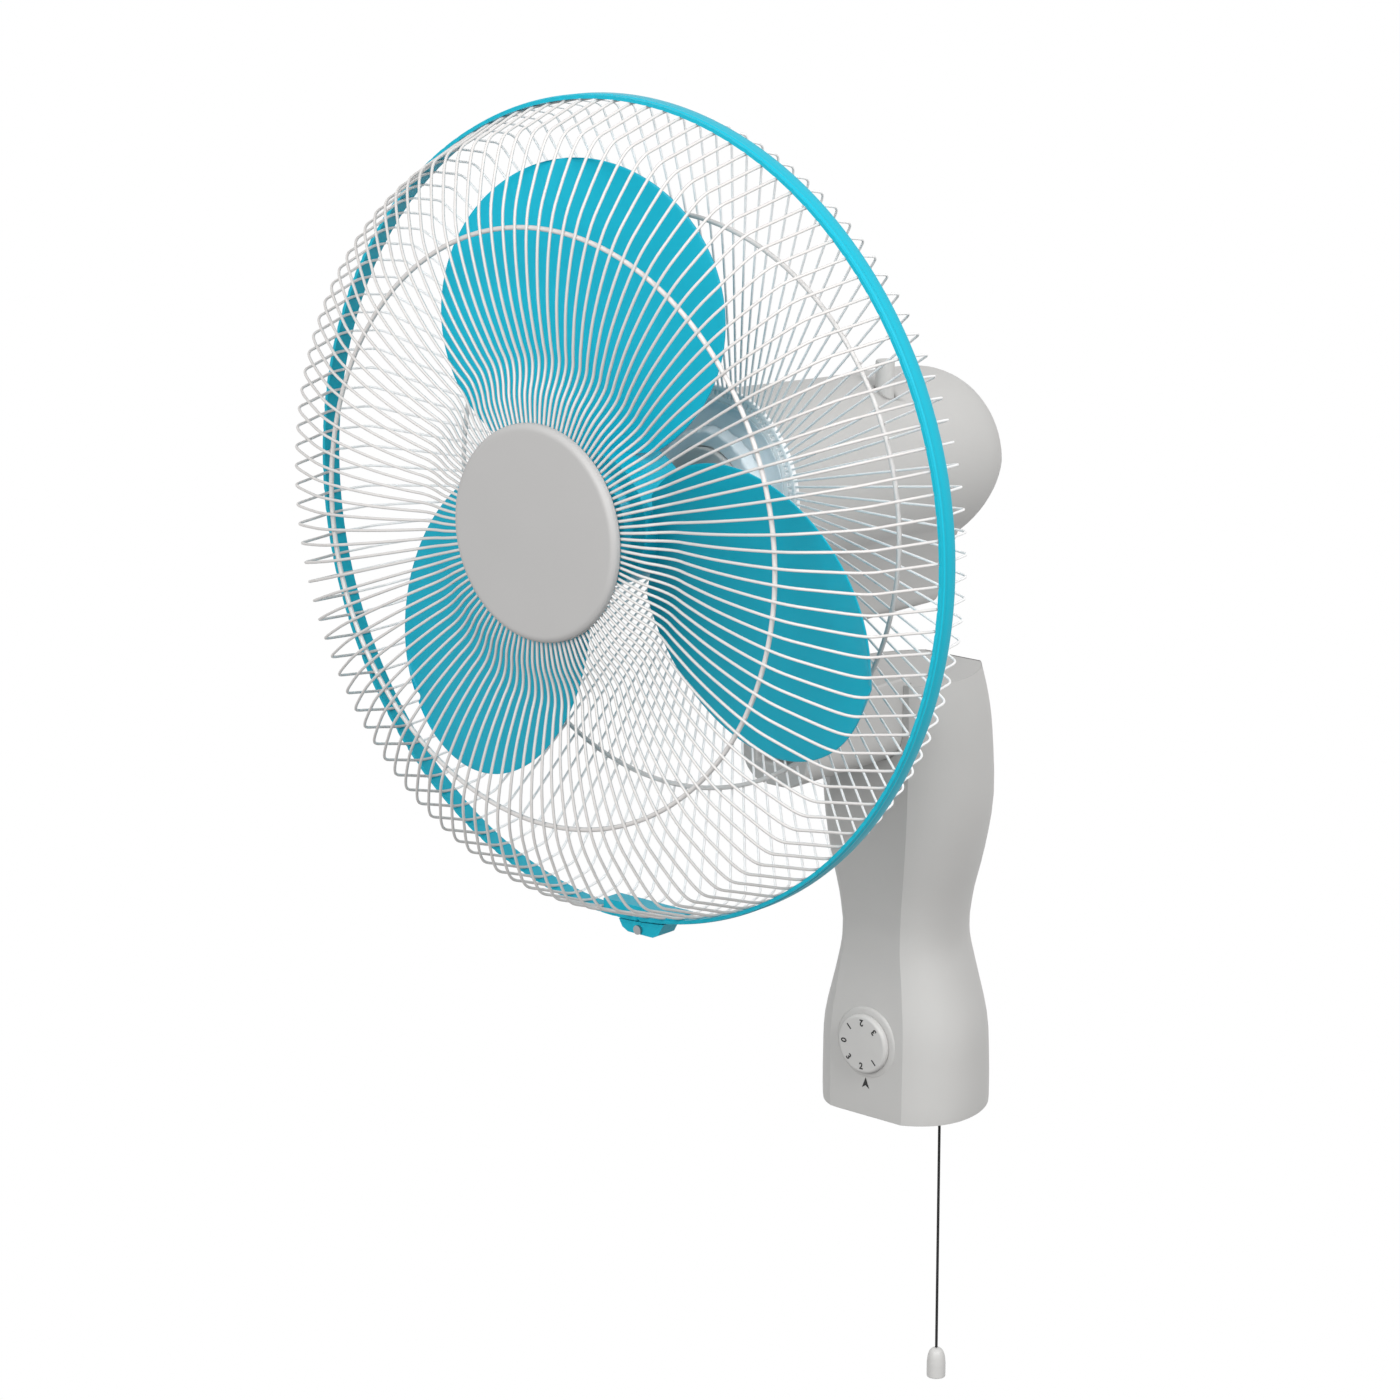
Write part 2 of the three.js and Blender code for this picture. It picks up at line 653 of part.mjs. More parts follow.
// The front housing closes the cover and carries the rear guard on a threaded boss.
const guardBossRadius = 26;
const flangeThickness = 3;
const housingBackY = motorFrontY + 9;
const seatRadius = motorFrontRadius - coverWall - 1;
const flangeY = motorFrontY - gap - flangeThickness;
const bossFrontY = flangeY - 13;
const frontBearingY = flangeY - 2;
const frontHousing = turned([
  [bearingRadius + gap, bossFrontY], [guardBossRadius, bossFrontY], [guardBossRadius, flangeY],
  [motorFrontRadius, flangeY], [motorFrontRadius, flangeY + flangeThickness],
  [seatRadius, flangeY + flangeThickness], [seatRadius, housingBackY], [seatRadius - 3, housingBackY],
  [seatRadius - 3, flangeY + flangeThickness], [bearingRadius + 4, flangeY + flangeThickness],
  [bearingRadius + 4, frontBearingY + bearingWidth], [bearingRadius + gap, frontBearingY + bearingWidth],
], 22);
add(head, 'motor_front_housing', frontHousing, greyPlastic);

const bearing = (y) => cut(
  bar('y', bearingRadius, y, y + bearingWidth, [0, 0], 18),
  bar('y', shaftRadius + gap, y - 1, y + bearingWidth + 1, [0, 0], 14),
);
add(head, 'front_bearing', bearing(frontBearingY), steel);
const statorY = 104;
const statorEndY = statorY + statorLength;
const stator = cut(
  bar('y', statorRadius, statorY, statorEndY, [0, 0], 20),
  bar('y', rotorRadius + 0.8, statorY - 1, statorEndY + 1, [0, 0], 20),
);
add(head, 'stator_core', stator, steel);
const windingDepth = 11;
const winding = (y0, y1) => turned([
  [rotorRadius + 3, y0], [statorRadius - 5, y0], [statorRadius - 5, y1], [rotorRadius + 3, y1]], 20);
add(head, 'stator_winding_front', winding(statorY - gap - windingDepth, statorY - gap), copper);
add(head, 'stator_winding_rear', winding(statorEndY + gap, statorEndY + gap + windingDepth), copper);

// The frame plate carries the rear bearing and the gear, and its four rods clamp the stator.
const frameY = statorEndY + windingDepth + 2;
const frameThickness = 4;
const frameBackY = frameY + frameThickness;
const frameRadius = statorRadius + 4;
const rearBearingY = frameY + 1;
const rodPlaces = [0, 1, 2, 3].map((k) => {
  const turn = Math.PI / 4 + (k * Math.PI) / 2;
  return [(statorRadius + 1) * Math.cos(turn), (statorRadius + 1) * Math.sin(turn)];
});
const shelfHalf = 7;
const shelfThickness = 4;
const lowerShelfZ = -34;
const upperShelfZ = 20;
const floorZ = -68;
const floorThickness = 6;
const crankX = 6;
const crankY = clutchY - 13;
const crankShaftRadius = 2.5;
const clutchShaftRadius = 2;
const shelf = (z) => block(
  clutchX - shelfHalf, clutchX + shelfHalf, frameY + 1, clutchY + shelfHalf, z, z + shelfThickness);
const floorHalf = 20;
const frame = cut(
  join(
    bar('y', frameRadius, frameY, frameBackY, [0, 0], 20),
    bar('y', bearingRadius + 4, frameY, rearBearingY + bearingWidth, [0, 0], 24),
    ...rodPlaces.map((place) => bar('y', 2.6, statorY + 4, frameY + 1, place, 6)),
    shelf(lowerShelfZ),
    shelf(upperShelfZ),
    block(-floorHalf, floorHalf, frameY, frameBackY, floorZ, 0),
    block(-floorHalf, floorHalf, headPivotY - 12, crankY + 8, floorZ, floorZ + floorThickness),
  ),
  bar('y', statorRadius + gap, statorY, statorEndY + 1, [0, 0], 20),
  bar('y', bearingRadius + gap, rearBearingY, rearBearingY + bearingWidth + 4, [0, 0], 24),
  bar('y', shaftRadius + 2, frameY - 1, frameBackY, [0, 0], 18),
  bar('z', clutchShaftRadius + gap, lowerShelfZ - 1, upperShelfZ + shelfThickness + 1, [clutchX, clutchY], 12),
  bar('z', crankShaftRadius + gap, floorZ - 1, floorZ + floorThickness + 1, [crankX, crankY], 14),
  bar('z', pivotRadius + gap, floorZ - 1, floorZ + floorThickness - 1, [0, headPivotY], 20),
);
add(head, 'gear_frame', frame, steel);
add(head, 'rear_bearing', bearing(rearBearingY), steel);

const pivotPostBottom = -blockDrop - gap - 1.5 - bushDepth + 2;
const pivotPostTop = floorZ + floorThickness - 1 - gap;
add(head, 'pivot_post', bar('z', pivotRadius, pivotPostBottom, pivotPostTop, [0, headPivotY], 20), steel);

// ---- oscillation gear --------------------------------------------------------------------------
const toothed = (radius, teeth, depth, z0, z1, x, y) => {
  const outline = [];
  for (let i = 0; i < teeth; i += 1) {
    [[-0.32, radius - depth], [-0.14, radius], [0.14, radius], [0.32, radius - depth]].forEach(([part, r]) => {
      const turn = ((i + part) * 2 * Math.PI) / teeth;
      outline.push([x + r * Math.cos(turn), y + r * Math.sin(turn)]);
    });
  }
  return skin([z0, z1].map((z) => outline.map(([px, py]) => [px, py, z])));
};
const wheelRadius = clutchX - wormRadius - 0.5;
const gearDistance = Math.hypot(clutchX - crankX, clutchY - crankY);
const crankGearRadius = gearDistance - pinionRadius - 0.4;
const pinionZ = lowerShelfZ - 9;
const crankGearZ = pinionZ;
const gearThickness = 4;
const clutchTopZ = oscKnobTop - oscKnobTravel - 10;
const wheel = join(
  toothed(wheelRadius, 16, 1.6, -4, 4, clutchX, clutchY),
  bar('z', clutchShaftRadius, pinionZ, clutchTopZ, [clutchX, clutchY], 12),
  bar('z', pinionRadius, pinionZ - 1, pinionZ + gearThickness + 1, [clutchX, clutchY], 14),
);
add(head, 'worm_wheel', wheel, knobPlastic);

const crankDiscZ = floorZ - gap - 3;
const crankPinZ = crankDiscZ - 2;
const crank = join(
  toothed(crankGearRadius, 16, 1.4, crankGearZ, crankGearZ + gearThickness, crankX, crankY),
  bar('z', crankShaftRadius, crankDiscZ + 1, crankGearZ + 1, [crankX, crankY], 14),
  bar('z', crankThrow + 2.4, crankDiscZ, crankDiscZ + 3, [crankX, crankY], 20),
  bar('z', 1.5, crankPinZ, crankDiscZ + 1, [crankX + crankThrow, crankY], 10),
);
add(head, 'crank_gear', crank, knobPlastic);

const linkTopZ = crankPinZ - 0.7;
const linkThickness = 2;
const linkEnds = [[linkArm, headPivotY], [crankX + crankThrow, crankY]];
const linkLength = Math.hypot(linkEnds[1][0] - linkEnds[0][0], linkEnds[1][1] - linkEnds[0][1]);
const linkTurn = Math.atan2(linkEnds[1][0] - linkEnds[0][0], linkEnds[1][1] - linkEnds[0][1]);
const linkBar = block(-1.6, 1.6, 0, linkLength, linkTopZ - linkThickness, linkTopZ)
  .rotate([0, 0, THREE.MathUtils.radToDeg(-linkTurn)])
  .translate([linkArm, headPivotY, 0]);
const link = cut(
  join(linkBar, ...linkEnds.map((place) => bar('z', 3.4, linkTopZ - linkThickness, linkTopZ, place, 16))),
  ...linkEnds.map((place) => bar('z', linkPinRadius + gap, linkTopZ - 5, linkTopZ + 1, place, 12)),
);
add(head, 'oscillation_link', link, steel);

const knobBottomZ = clutchTopZ - 8;
const oscKnob = cut(
  join(
    bar('z', oscKnobRadius, knobBottomZ, oscKnobTop - 1.2, [clutchX, clutchY], 20),
    bar('z', oscKnobRadius, oscKnobTop - 1.2, oscKnobTop, [clutchX, clutchY], 20, oscKnobRadius - 1),
  ),
  bar('z', clutchShaftRadius + gap, knobBottomZ - 1, clutchTopZ + oscKnobTravel + 1, [clutchX, clutchY], 12),
);
add(head, 'oscillation_knob', oscKnob, knobPlastic);

// ---- rotor -------------------------------------------------------------------------------------
const hubFrontY = -26;
const hubBackY = 16;
const shaftFrontY = hubFrontY - 12;
const shaftRearY = clutchY + 16;
add(head, 'motor_shaft', bar('y', shaftRadius, shaftFrontY, shaftRearY, [0, 0], 18), steel);
const sleeve = (radius, y0, y1, sides) => cut(
  bar('y', radius, y0, y1, [0, 0], sides),
  bar('y', shaftRadius + gap, y0 - 1, y1 + 1, [0, 0], 18),
);
add(head, 'rotor_core', sleeve(rotorRadius, statorY, statorEndY, 20), steel);
add(head, 'drive_worm', sleeve(wormRadius, clutchY - 10, clutchY + 10, 20), brass);

// One blade is an oval leaf whose leading side comes forward; its rows run outward from the hub.
const bladeTurn = THREE.MathUtils.degToRad(100);
const bladeForward = 10;
const bladeCamber = 3;
const bladeRows = 7;
const bladeColumns = 6;
const bladeRootShare = 0.13; // the part of the leaf's half turn that lies inside the hub
const bladePoint = (across, out) => {
  const sweep = Math.PI * lerp(bladeRootShare, 0.975, out);
  const reach = bladeReach - bladeHalfLength * Math.cos(sweep);
  const side = across * bladeHalfWidth * Math.sin(sweep);
  const depth = -bladeForward - bladePitch * side * (1.25 - 0.35 * out) + bladeCamber * (1 - across * across);
  return new THREE.Vector3(
    reach * Math.cos(bladeTurn) - side * Math.sin(bladeTurn),
    depth,
    reach * Math.sin(bladeTurn) + side * Math.cos(bladeTurn),
  );
};
const blade = () => {
  const half = new THREE.Vector3(0, bladeThickness / 2, 0);
  const rings = [];
  for (let row = 0; row <= bladeRows; row += 1) {
    const front = [];
    const back = [];
    for (let i = 0; i <= bladeColumns; i += 1) {
      const point = bladePoint(-1 + (2 * i) / bladeColumns, row / bladeRows);
      front.push(point.clone().sub(half).toArray());
      back.push(point.clone().add(half).toArray());
    }
    rings.push([...front, ...back.reverse()]);
  }
  return skin(rings);
};
const hub = turned([
  [shaftRadius + gap, hubFrontY], [bladeHubRadius - 9, hubFrontY], [bladeHubRadius - 7, hubFrontY + 5],
  [bladeHubRadius, hubFrontY + 7], [bladeHubRadius, hubBackY],
  [bladeHubRadius - 3, hubBackY], [bladeHubRadius - 3, hubFrontY + 14], [10, hubFrontY + 8],
  [10, hubBackY], [shaftRadius + gap, hubBackY],
], 24);
const hubInsideRadius = bladeHubRadius - 2.5;
const hubInside = turned([
  [0, hubFrontY + 10], [hubInsideRadius, hubFrontY + 14], [hubInsideRadius, 60], [0, 60]], 24);
let fan = hub;
for (let i = 0; i < bladeCount; i += 1) {
  const one = blade().rotate([0, (360 * i) / bladeCount, 0]);
  fan = join(fan, cut(one, hubInside));
}
add(head, 'fan_blade', fan, cyanPlastic);
const nutY = hubFrontY - gap;
const bladeNut = cut(
  turned([[0, nutY - 14], [7, nutY - 13], [11, nutY - 8], [13, nutY], [0, nutY]], 20),
  bar('y', shaftRadius + gap, shaftFrontY - gap, nutY + 1, [0, 0], 18),
);
add(head, 'blade_nut', bladeNut, cyanPlastic);

// ---- guards ------------------------------------------------------------------------------------
const polar = (radius, turn, y) => new THREE.Vector3(radius * Math.cos(turn), y, radius * Math.sin(turn));
const ringOf = (radius, y, thickness, segments, sides) => {
  const profile = [];
  for (let k = 0; k < sides; k += 1) {
    const turn = (2 * Math.PI * (k + 0.5)) / sides;
    profile.push([radius + thickness * Math.cos(turn), y + thickness * Math.sin(turn)]);
  }
  return turned(profile, segments);
};
const rimRadius = ringRadius - ringThickness - gap - ringWireRadius;
const rimY = 2.3;
const hubWireY = badgeBackY + gap + wireRadius;
const badgeFrontY = badgeBackY - badgeThickness;
// place out from the axis and place along it: hub, dip, crest, shoulder and rim
const frontProfile = [
  [badgeRadius - 10, hubWireY], [87, hubWireY + 5.2], [163, hubWireY - 0.3],
  [203, -40], [rimRadius, -rimY],
];
const rearHubY = 75;
const rearProfile = [
  [rearHubRadius, rearHubY], [160, 34.5], [211, 26], [rimRadius, rimY],
];
const cage = (profile, hubRing, rimRing, radius) => {
  const wires = [];
  for (let i = 0; i < wireCount; i += 1) {
    const turn = (2 * Math.PI * (i + 0.5)) / wireCount;
    wires.push(wire(profile.map(([r, y]) => polar(r, turn, y)), radius));
  }
  while (wires.length > 1) wires.push(wires.shift().add(wires.shift()));
  return join(hubRing, rimRing, wires[0]);
};
const rimRing = (y) => ringOf(rimRadius, y, ringWireRadius, ringSegments, 4);
const frontGuard = cage(
  frontProfile, ringOf(badgeRadius - 10, hubWireY + 0.4, ringWireRadius, 36, 4), rimRing(-rimY), wireRadius);
add(head, 'front_guard', frontGuard, whiteWire);
const rearGuard = cage(
  rearProfile,
  turned([[rearHubRadius - 2, rearHubY - 1.5], [rearHubRadius + 1, rearHubY - 1.5],
    [rearHubRadius + 1, rearHubY + 1.5], [rearHubRadius - 2, rearHubY + 1.5]], 36),
  rimRing(rimY), wireRadius);
add(head, 'rear_guard', rearGuard, whiteWire);
const heightAt = (profile, radius) => {
  const k = profile.findIndex(([r]) => r >= radius);
  const [r0, y0] = profile[k - 1];
  const [r1, y1] = profile[k];
  return lerp(y0, y1, (radius - r0) / (r1 - r0));
};
const frontRingY = heightAt(frontProfile, frontRingRadius) + wireRadius + ringWireRadius + gap;
add(head, 'front_guard_ring', ringOf(frontRingRadius, frontRingY, ringWireRadius, 48, 4), whiteWire);
const rearRingY = heightAt(rearProfile, rearRingRadius) - wireRadius / 2 - ringWireRadius - gap;
add(head, 'rear_guard_ring', ringOf(rearRingRadius, rearRingY, ringWireRadius, 48, 4), whiteWire);

const plateOuter = rearHubRadius - 2 - gap;
const plateY = flangeY - gap - 1.5;
add(head, 'rear_guard_plate', turned([
  [guardBossRadius + gap, plateY], [plateOuter - 9, plateY],
  [plateOuter, plateY - 3], [plateOuter, plateY - 1.5],
  [plateOuter - 8.5, plateY + 1.5], [guardBossRadius + gap, plateY + 1.5],
], 28), dishGrey);
const lockNut = turned([
  [guardBossRadius + gap, plateY - gap - 8], [guardBossRadius + 9, plateY - gap - 8],
  [guardBossRadius + 11, plateY - gap], [guardBossRadius + gap, plateY - gap],
], 28);
add(head, 'guard_lock_nut', lockNut, dishGrey);

const badge = join(
  turned([[0, badgeFrontY], [badgeRadius - 3, badgeFrontY], [badgeRadius - 0.8, badgeFrontY + 1],
    [badgeRadius, badgeFrontY + 2.4], [badgeRadius, badgeBackY], [0, badgeBackY]], 36),
  bar('y', 4, badgeBackY - 1, badgeBackY + 12, [0, 0], 10),
);
add(head, 'badge_disc', badge, badgePlastic);
const backingY = hubWireY + 0.4 + ringWireRadius + gap;
const backing = cut(
  bar('y', badgeRadius - 6, backingY, backingY + 2, [0, 0], 28),
  bar('y', 4 + gap, backingY - 1, backingY + 3, [0, 0], 14),
);
add(head, 'badge_backing_plate', backing, greyPlastic);

// ---- clamp ring --------------------------------------------------------------------------------
const ringHalf = ringWidth / 2;
const ringGapHalf = 1;
const claspX = 16; // the ring's ends meet a little to the right of its lowest place
const clampRing = cut(
  turned([[ringRadius - ringThickness, -ringHalf], [ringRadius, -ringHalf], [ringRadius, ringHalf],
    [ringRadius - ringThickness, ringHalf]], ringSegments),
  block(claspX - ringGapHalf, claspX + ringGapHalf, -ringWidth, ringWidth, -ringRadius - 5, -ringRadius + 10),
);
add(head, 'clamp_ring', clampRing, cyanPlastic);
const claspHalf = 18;
const claspDepth = 6.5;
const claspEdge = 4;
const claspBottomZ = -ringRadius - claspDepth;
const claspRight = [
  [claspHalf, -ringRadius + 3],
  [claspHalf - claspEdge, claspBottomZ + 2],
  [claspHalf - 2 * claspEdge, claspBottomZ],
];
const claspLeft = claspRight.map(([x, z]) => [-x, z]).reverse();
const claspOutline = [...claspRight, ...claspLeft].map(([x, z]) => [x + claspX, z]);
const claspScrewAt = [claspX, claspBottomZ + claspDepth / 2 - 0.5];
const clasp = cut(
  prismY(claspOutline, -ringHalf + 1, ringHalf + 3),
  bar('y', ringRadius + gap, -ringWidth, ringWidth, [0, 0], ringSegments),
  bar('y', 1.5 + gap, -ringWidth, ringWidth, claspScrewAt, 12),
);
add(head, 'clamp_clasp', clasp, cyanPlastic);
const claspScrew = join(
  bar('y', 1.5, -ringHalf, ringHalf + 3.5, claspScrewAt, 12),
  bar('y', 2.6, -ringHalf - 0.8, -ringHalf + 1 - gap, claspScrewAt, 14),
);
add(head, 'clamp_screw', claspScrew, steel);

export default group;
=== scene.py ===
import math

import bmesh
import bpy
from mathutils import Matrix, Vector


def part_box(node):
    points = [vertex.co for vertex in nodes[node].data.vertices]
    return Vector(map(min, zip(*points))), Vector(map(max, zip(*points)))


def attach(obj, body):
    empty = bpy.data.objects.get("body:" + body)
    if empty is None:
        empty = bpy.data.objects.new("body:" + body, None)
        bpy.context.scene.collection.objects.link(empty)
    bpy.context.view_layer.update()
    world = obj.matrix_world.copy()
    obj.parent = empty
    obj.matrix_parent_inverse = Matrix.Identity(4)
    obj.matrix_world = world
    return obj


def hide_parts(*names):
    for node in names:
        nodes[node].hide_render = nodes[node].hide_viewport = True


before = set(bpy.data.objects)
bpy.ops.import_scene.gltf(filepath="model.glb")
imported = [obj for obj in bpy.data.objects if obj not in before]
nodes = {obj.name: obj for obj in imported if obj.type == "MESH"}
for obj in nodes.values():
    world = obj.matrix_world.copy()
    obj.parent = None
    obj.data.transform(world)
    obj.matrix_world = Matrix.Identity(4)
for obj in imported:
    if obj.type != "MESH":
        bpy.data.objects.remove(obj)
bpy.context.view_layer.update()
print("frame loaded with", len(nodes), "nodes")

scene = bpy.context.scene
scene.view_settings.view_transform = "Standard"

cameraSettings = {
    "place": (1.56426, -1.99532, 0.69096),
    "azimuth": 41.5,
    "pitch": -14.3,
    "lens": 115.71,
    "sensor": 36,
}


def addCamera(settings):
    data = bpy.data.cameras.new("photoCamera")
    data.lens = settings["lens"]
    data.sensor_width = settings["sensor"]
    camera = bpy.data.objects.new("photoCamera", data)
    camera.location = settings["place"]
    camera.rotation_euler = (math.radians(90 + settings["pitch"]), 0, math.radians(settings["azimuth"]))
    scene.collection.objects.link(camera)
    scene.camera = camera


addCamera(cameraSettings)
print("camera placed")


class Link:
    # one node output that Python's operators can work on
    def __init__(self, finish, socket):
        self.finish = finish
        self.socket = socket

    def math(self, operation, first, second):
        return self.finish.add("ShaderNodeMath", {"operation": operation}, {0: first, 1: second})

    def __add__(self, other):
        return self.math("ADD", self, other)

    def __radd__(self, other):
        return self.math("ADD", other, self)

    def __sub__(self, other):
        return self.math("SUBTRACT", self, other)

    def __rsub__(self, other):
        return self.math("SUBTRACT", other, self)

    def __mul__(self, other):
        return self.math("MULTIPLY", self, other)

    def __rmul__(self, other):
        return self.math("MULTIPLY", other, self)

    def __gt__(self, other):
        return self.math("GREATER_THAN", self, other)


class Finish:
    # the nodes of a material or of the world
    def __init__(self, owner):
        owner.use_nodes = True
        self.owner = owner
        self.tree = owner.node_tree
        self.tree.nodes.clear()

    def make(self, kind, settings, inputs):
        # every node comes from here: its settings first, then values and links
        node = self.tree.nodes.new(kind)
        for key, value in settings.items():
            setattr(node, key, value)
        for key, value in inputs.items():
            if isinstance(value, Link):
                self.tree.links.new(value.socket, node.inputs[key])
            else:
                node.inputs[key].default_value = value
        return node

    def add(self, kind, settings, inputs, output=0):
        return Link(self, self.make(kind, settings, inputs).outputs[output])

    def place(self):
        return self.add("ShaderNodeTexCoord", {}, {}, "Object")

    def noise(self, scale, detail=2.0):
        inputs = {"Vector": self.place(), "Scale": scale, "Detail": detail}
        return self.add("ShaderNodeTexNoise", {}, inputs)

    def blend(self, amount, first, second):
        return self.add("ShaderNodeMix", {"data_type": "RGBA"}, {0: amount, 6: first, 7: second}, 2)

    def bump(self, height, strength, distance):
        inputs = {"Height": height, "Strength": strength, "Distance": distance}
        return self.add("ShaderNodeBump", {}, inputs)

    def end(self, shader, kind="ShaderNodeOutputMaterial"):
        self.make(kind, {}, {"Surface": shader})
        return self.owner


def tone(red, green, blue):
    # linear colour of an sRGB one, from 0 to 255
    parts = []
    for part in (red, green, blue):
        share = part / 255
        parts.append(share / 12.92 if share <= 0.04045 else ((share + 0.055) / 1.055) ** 2.4)
    return (*parts, 1)


# what all moulded finishes share, unless one of them says otherwise
plasticSettings = {"coat": 0.0, "coatRoughness": 0.12, "specular": 0.5, "grainRoughness": 0.06}


def moulded(name, ownSettings):
    # slow shifts of colour and gloss with a fine spark-eroded grain
    settings = {**plasticSettings, **ownSettings}
    finish = Finish(bpy.data.materials.new(name))
    cloud = finish.noise(settings["cloudScale"], 3.0)
    grain = finish.noise(settings["grainScale"], 2.0)
    roughness = settings["roughness"] + (cloud - 0.5) * settings["roughShift"]
    shader = finish.add("ShaderNodeBsdfPrincipled", {}, {
        "Base Color": finish.blend(cloud, settings["dark"], settings["light"]),
        "Roughness": roughness + (grain - 0.5) * settings["grainRoughness"],
        "Coat Weight": settings["coat"],
        "Coat Roughness": settings["coatRoughness"],
        "Specular IOR Level": settings["specular"],
        "Normal": finish.bump(grain, settings["grainStrength"], settings["grainDepth"]),
    })
    return finish.end(shader)


metalSettings = {
    "streakScale": 900.0,
    "cloudScale": 60.0,
    "streakRoughness": 0.2,
    "grooveStrength": 0.2,
    "grooveDepth": 0.00004,
}


def brushed(name, ownSettings):
    # drawn or turned metal: streaks along one direction over a mottled gloss
    settings = {**metalSettings, **ownSettings}
    finish = Finish(bpy.data.materials.new(name))
    stretched = finish.add(
        "ShaderNodeVectorMath", {"operation": "MULTIPLY"}, {0: finish.place(), 1: settings["stretch"]})
    streakInputs = {"Vector": stretched, "Scale": settings["streakScale"], "Detail": 3.0}
    streaks = finish.add("ShaderNodeTexNoise", {}, streakInputs)
    cloud = finish.noise(settings["cloudScale"])
    shader = finish.add("ShaderNodeBsdfPrincipled", {}, {
        "Base Color": finish.blend(cloud * 0.5 + streaks * 0.5, settings["dark"], settings["light"]),
        "Metallic": 1.0,
        "Roughness": settings["roughness"] + (streaks - 0.5) * settings["streakRoughness"],
        "Normal": finish.bump(streaks, settings["grooveStrength"], settings["grooveDepth"]),
    })
    return finish.end(shader)


def twisted(name, settings):
    # twisted cord: slanting strands round a thin line
    finish = Finish(bpy.data.materials.new(name))
    strands = finish.add(
        "ShaderNodeTexWave",
        {"wave_type": "BANDS", "bands_direction": "DIAGONAL"},
        {"Vector": finish.place(), "Scale": settings["strandScale"],
         "Distortion": settings["distortion"], "Detail": 2.0},
        "Fac")
    shader = finish.add("ShaderNodeBsdfPrincipled", {}, {
        "Base Color": finish.blend(strands, settings["dark"], settings["light"]),
        "Roughness": settings["roughness"] + strands * settings["roughShift"],
        "Normal": finish.bump(strands, settings["strandStrength"], settings["strandDepth"]),
    })
    return finish.end(shader)


greyPlastic = moulded("greyPlastic", {
    "dark": tone(186, 185, 183), "light": tone(195, 194, 192), "cloudScale": 14.0, "grainScale": 1800.0,
    "roughness": 0.48, "roughShift": 0.12, "grainStrength": 0.18, "grainDepth": 0.00008,
})
badgePlastic = moulded("badgePlastic", {
    "dark": tone(174, 173, 172), "light": tone(180, 179, 178), "cloudScale": 20.0, "grainScale": 2200.0,
    "roughness": 0.5, "roughShift": 0.1, "grainStrength": 0.15, "grainDepth": 0.00006,
})
knobPlastic = moulded("knobPlastic", {
    "dark": tone(194, 193, 191), "light": tone(202, 201, 199), "cloudScale": 60.0, "grainScale": 2600.0,
    "roughness": 0.42, "roughShift": 0.1, "grainStrength": 0.12, "grainDepth": 0.00005,
})
cyanRing = moulded("cyanRing", {
    "dark": tone(14, 168, 191), "light": tone(22, 177, 200), "cloudScale": 18.0, "grainScale": 1600.0,
    "roughness": 0.42, "roughShift": 0.12, "grainStrength": 0.08, "grainDepth": 0.00005, "specular": 0.25,
})
cyanBlade = moulded("cyanBlade", {
    "dark": tone(8, 168, 194), "light": tone(14, 177, 202), "cloudScale": 10.0, "grainScale": 1400.0,
    "roughness": 0.4, "roughShift": 0.1, "grainStrength": 0.06, "grainDepth": 0.00005, "specular": 0.25,
})
whiteWire = moulded("whiteWire", {
    "dark": tone(204, 201, 199), "light": tone(214, 211, 209), "cloudScale": 25.0, "grainScale": 1200.0,
    "roughness": 0.38, "roughShift": 0.1, "grainStrength": 0.12, "grainDepth": 0.00006, "coat": 0.1,
})
# rear guard wires and hub ring: the same white coat as the front wires, painted lighter to make up for the
# shade the blades cast on them (painted light)
rearWhitePaintedLight = moulded("rearWhitePaintedLight", {
    "dark": tone(240, 240, 240), "light": tone(248, 248, 248), "cloudScale": 25.0, "grainScale": 1200.0,
    "roughness": 0.4, "roughShift": 0.1, "grainStrength": 0.12, "grainDepth": 0.00006,
})
# dish and lock nut: their own pale paint, painted lighter to make up for the shade the blades cast there
# (painted light)
dishPaintAndPaintedLight = moulded("dishPaintAndPaintedLight", {
    "dark": tone(222, 229, 233), "light": tone(232, 238, 241), "cloudScale": 16.0, "grainScale": 1500.0,
    "roughness": 0.42, "roughShift": 0.12, "grainStrength": 0.12, "grainDepth": 0.00006,
})
blackPlastic = moulded("blackPlastic", {
    "dark": tone(24, 24, 24), "light": tone(34, 34, 34), "cloudScale": 50.0, "grainScale": 2000.0,
    "roughness": 0.5, "roughShift": 0.14, "grainStrength": 0.25, "grainDepth": 0.0001,
})
printInk = moulded("printInk", {
    "dark": tone(18, 18, 18), "light": tone(28, 28, 28), "cloudScale": 200.0, "grainScale": 3000.0,
    "roughness": 0.6, "roughShift": 0.1, "grainStrength": 0.1, "grainDepth": 0.00003,
})
steel = brushed("steel", {
    "dark": tone(142, 145, 148), "light": tone(176, 179, 182), "roughness": 0.34,
    "stretch": (1.0, 0.08, 1.0),
})
copper = brushed("copper", {
    "dark": tone(150, 84, 44), "light": tone(196, 122, 72), "roughness": 0.4,
    "stretch": (0.6, 1.0, 0.6),
})
brass = brushed("brass", {
    "dark": tone(160, 130, 66), "light": tone(196, 166, 96), "roughness": 0.34,
    "stretch": (1.0, 1.0, 0.1),
})
cordWeave = twisted("cordWeave", {
    "dark": tone(6, 6, 6), "light": tone(24, 24, 24), "strandScale": 260.0, "distortion": 1.5,
    "roughness": 0.75, "roughShift": 0.15, "strandStrength": 0.7, "strandDepth": 0.0003,
})
print("materials made")

meshSettings = {
    "weld": 0.000002,  # points closer than this are one
    "sliver": 0.0000005,
    "cornerShare": 0.48,  # of a side that one rounded corner may take
    "softenFrom": 30,  # degrees between two faces
}


def smoothShade(mesh, sharp):
    mesh.shade_smooth()
    mesh.set_sharp_from_angle(angle=math.radians(sharp))


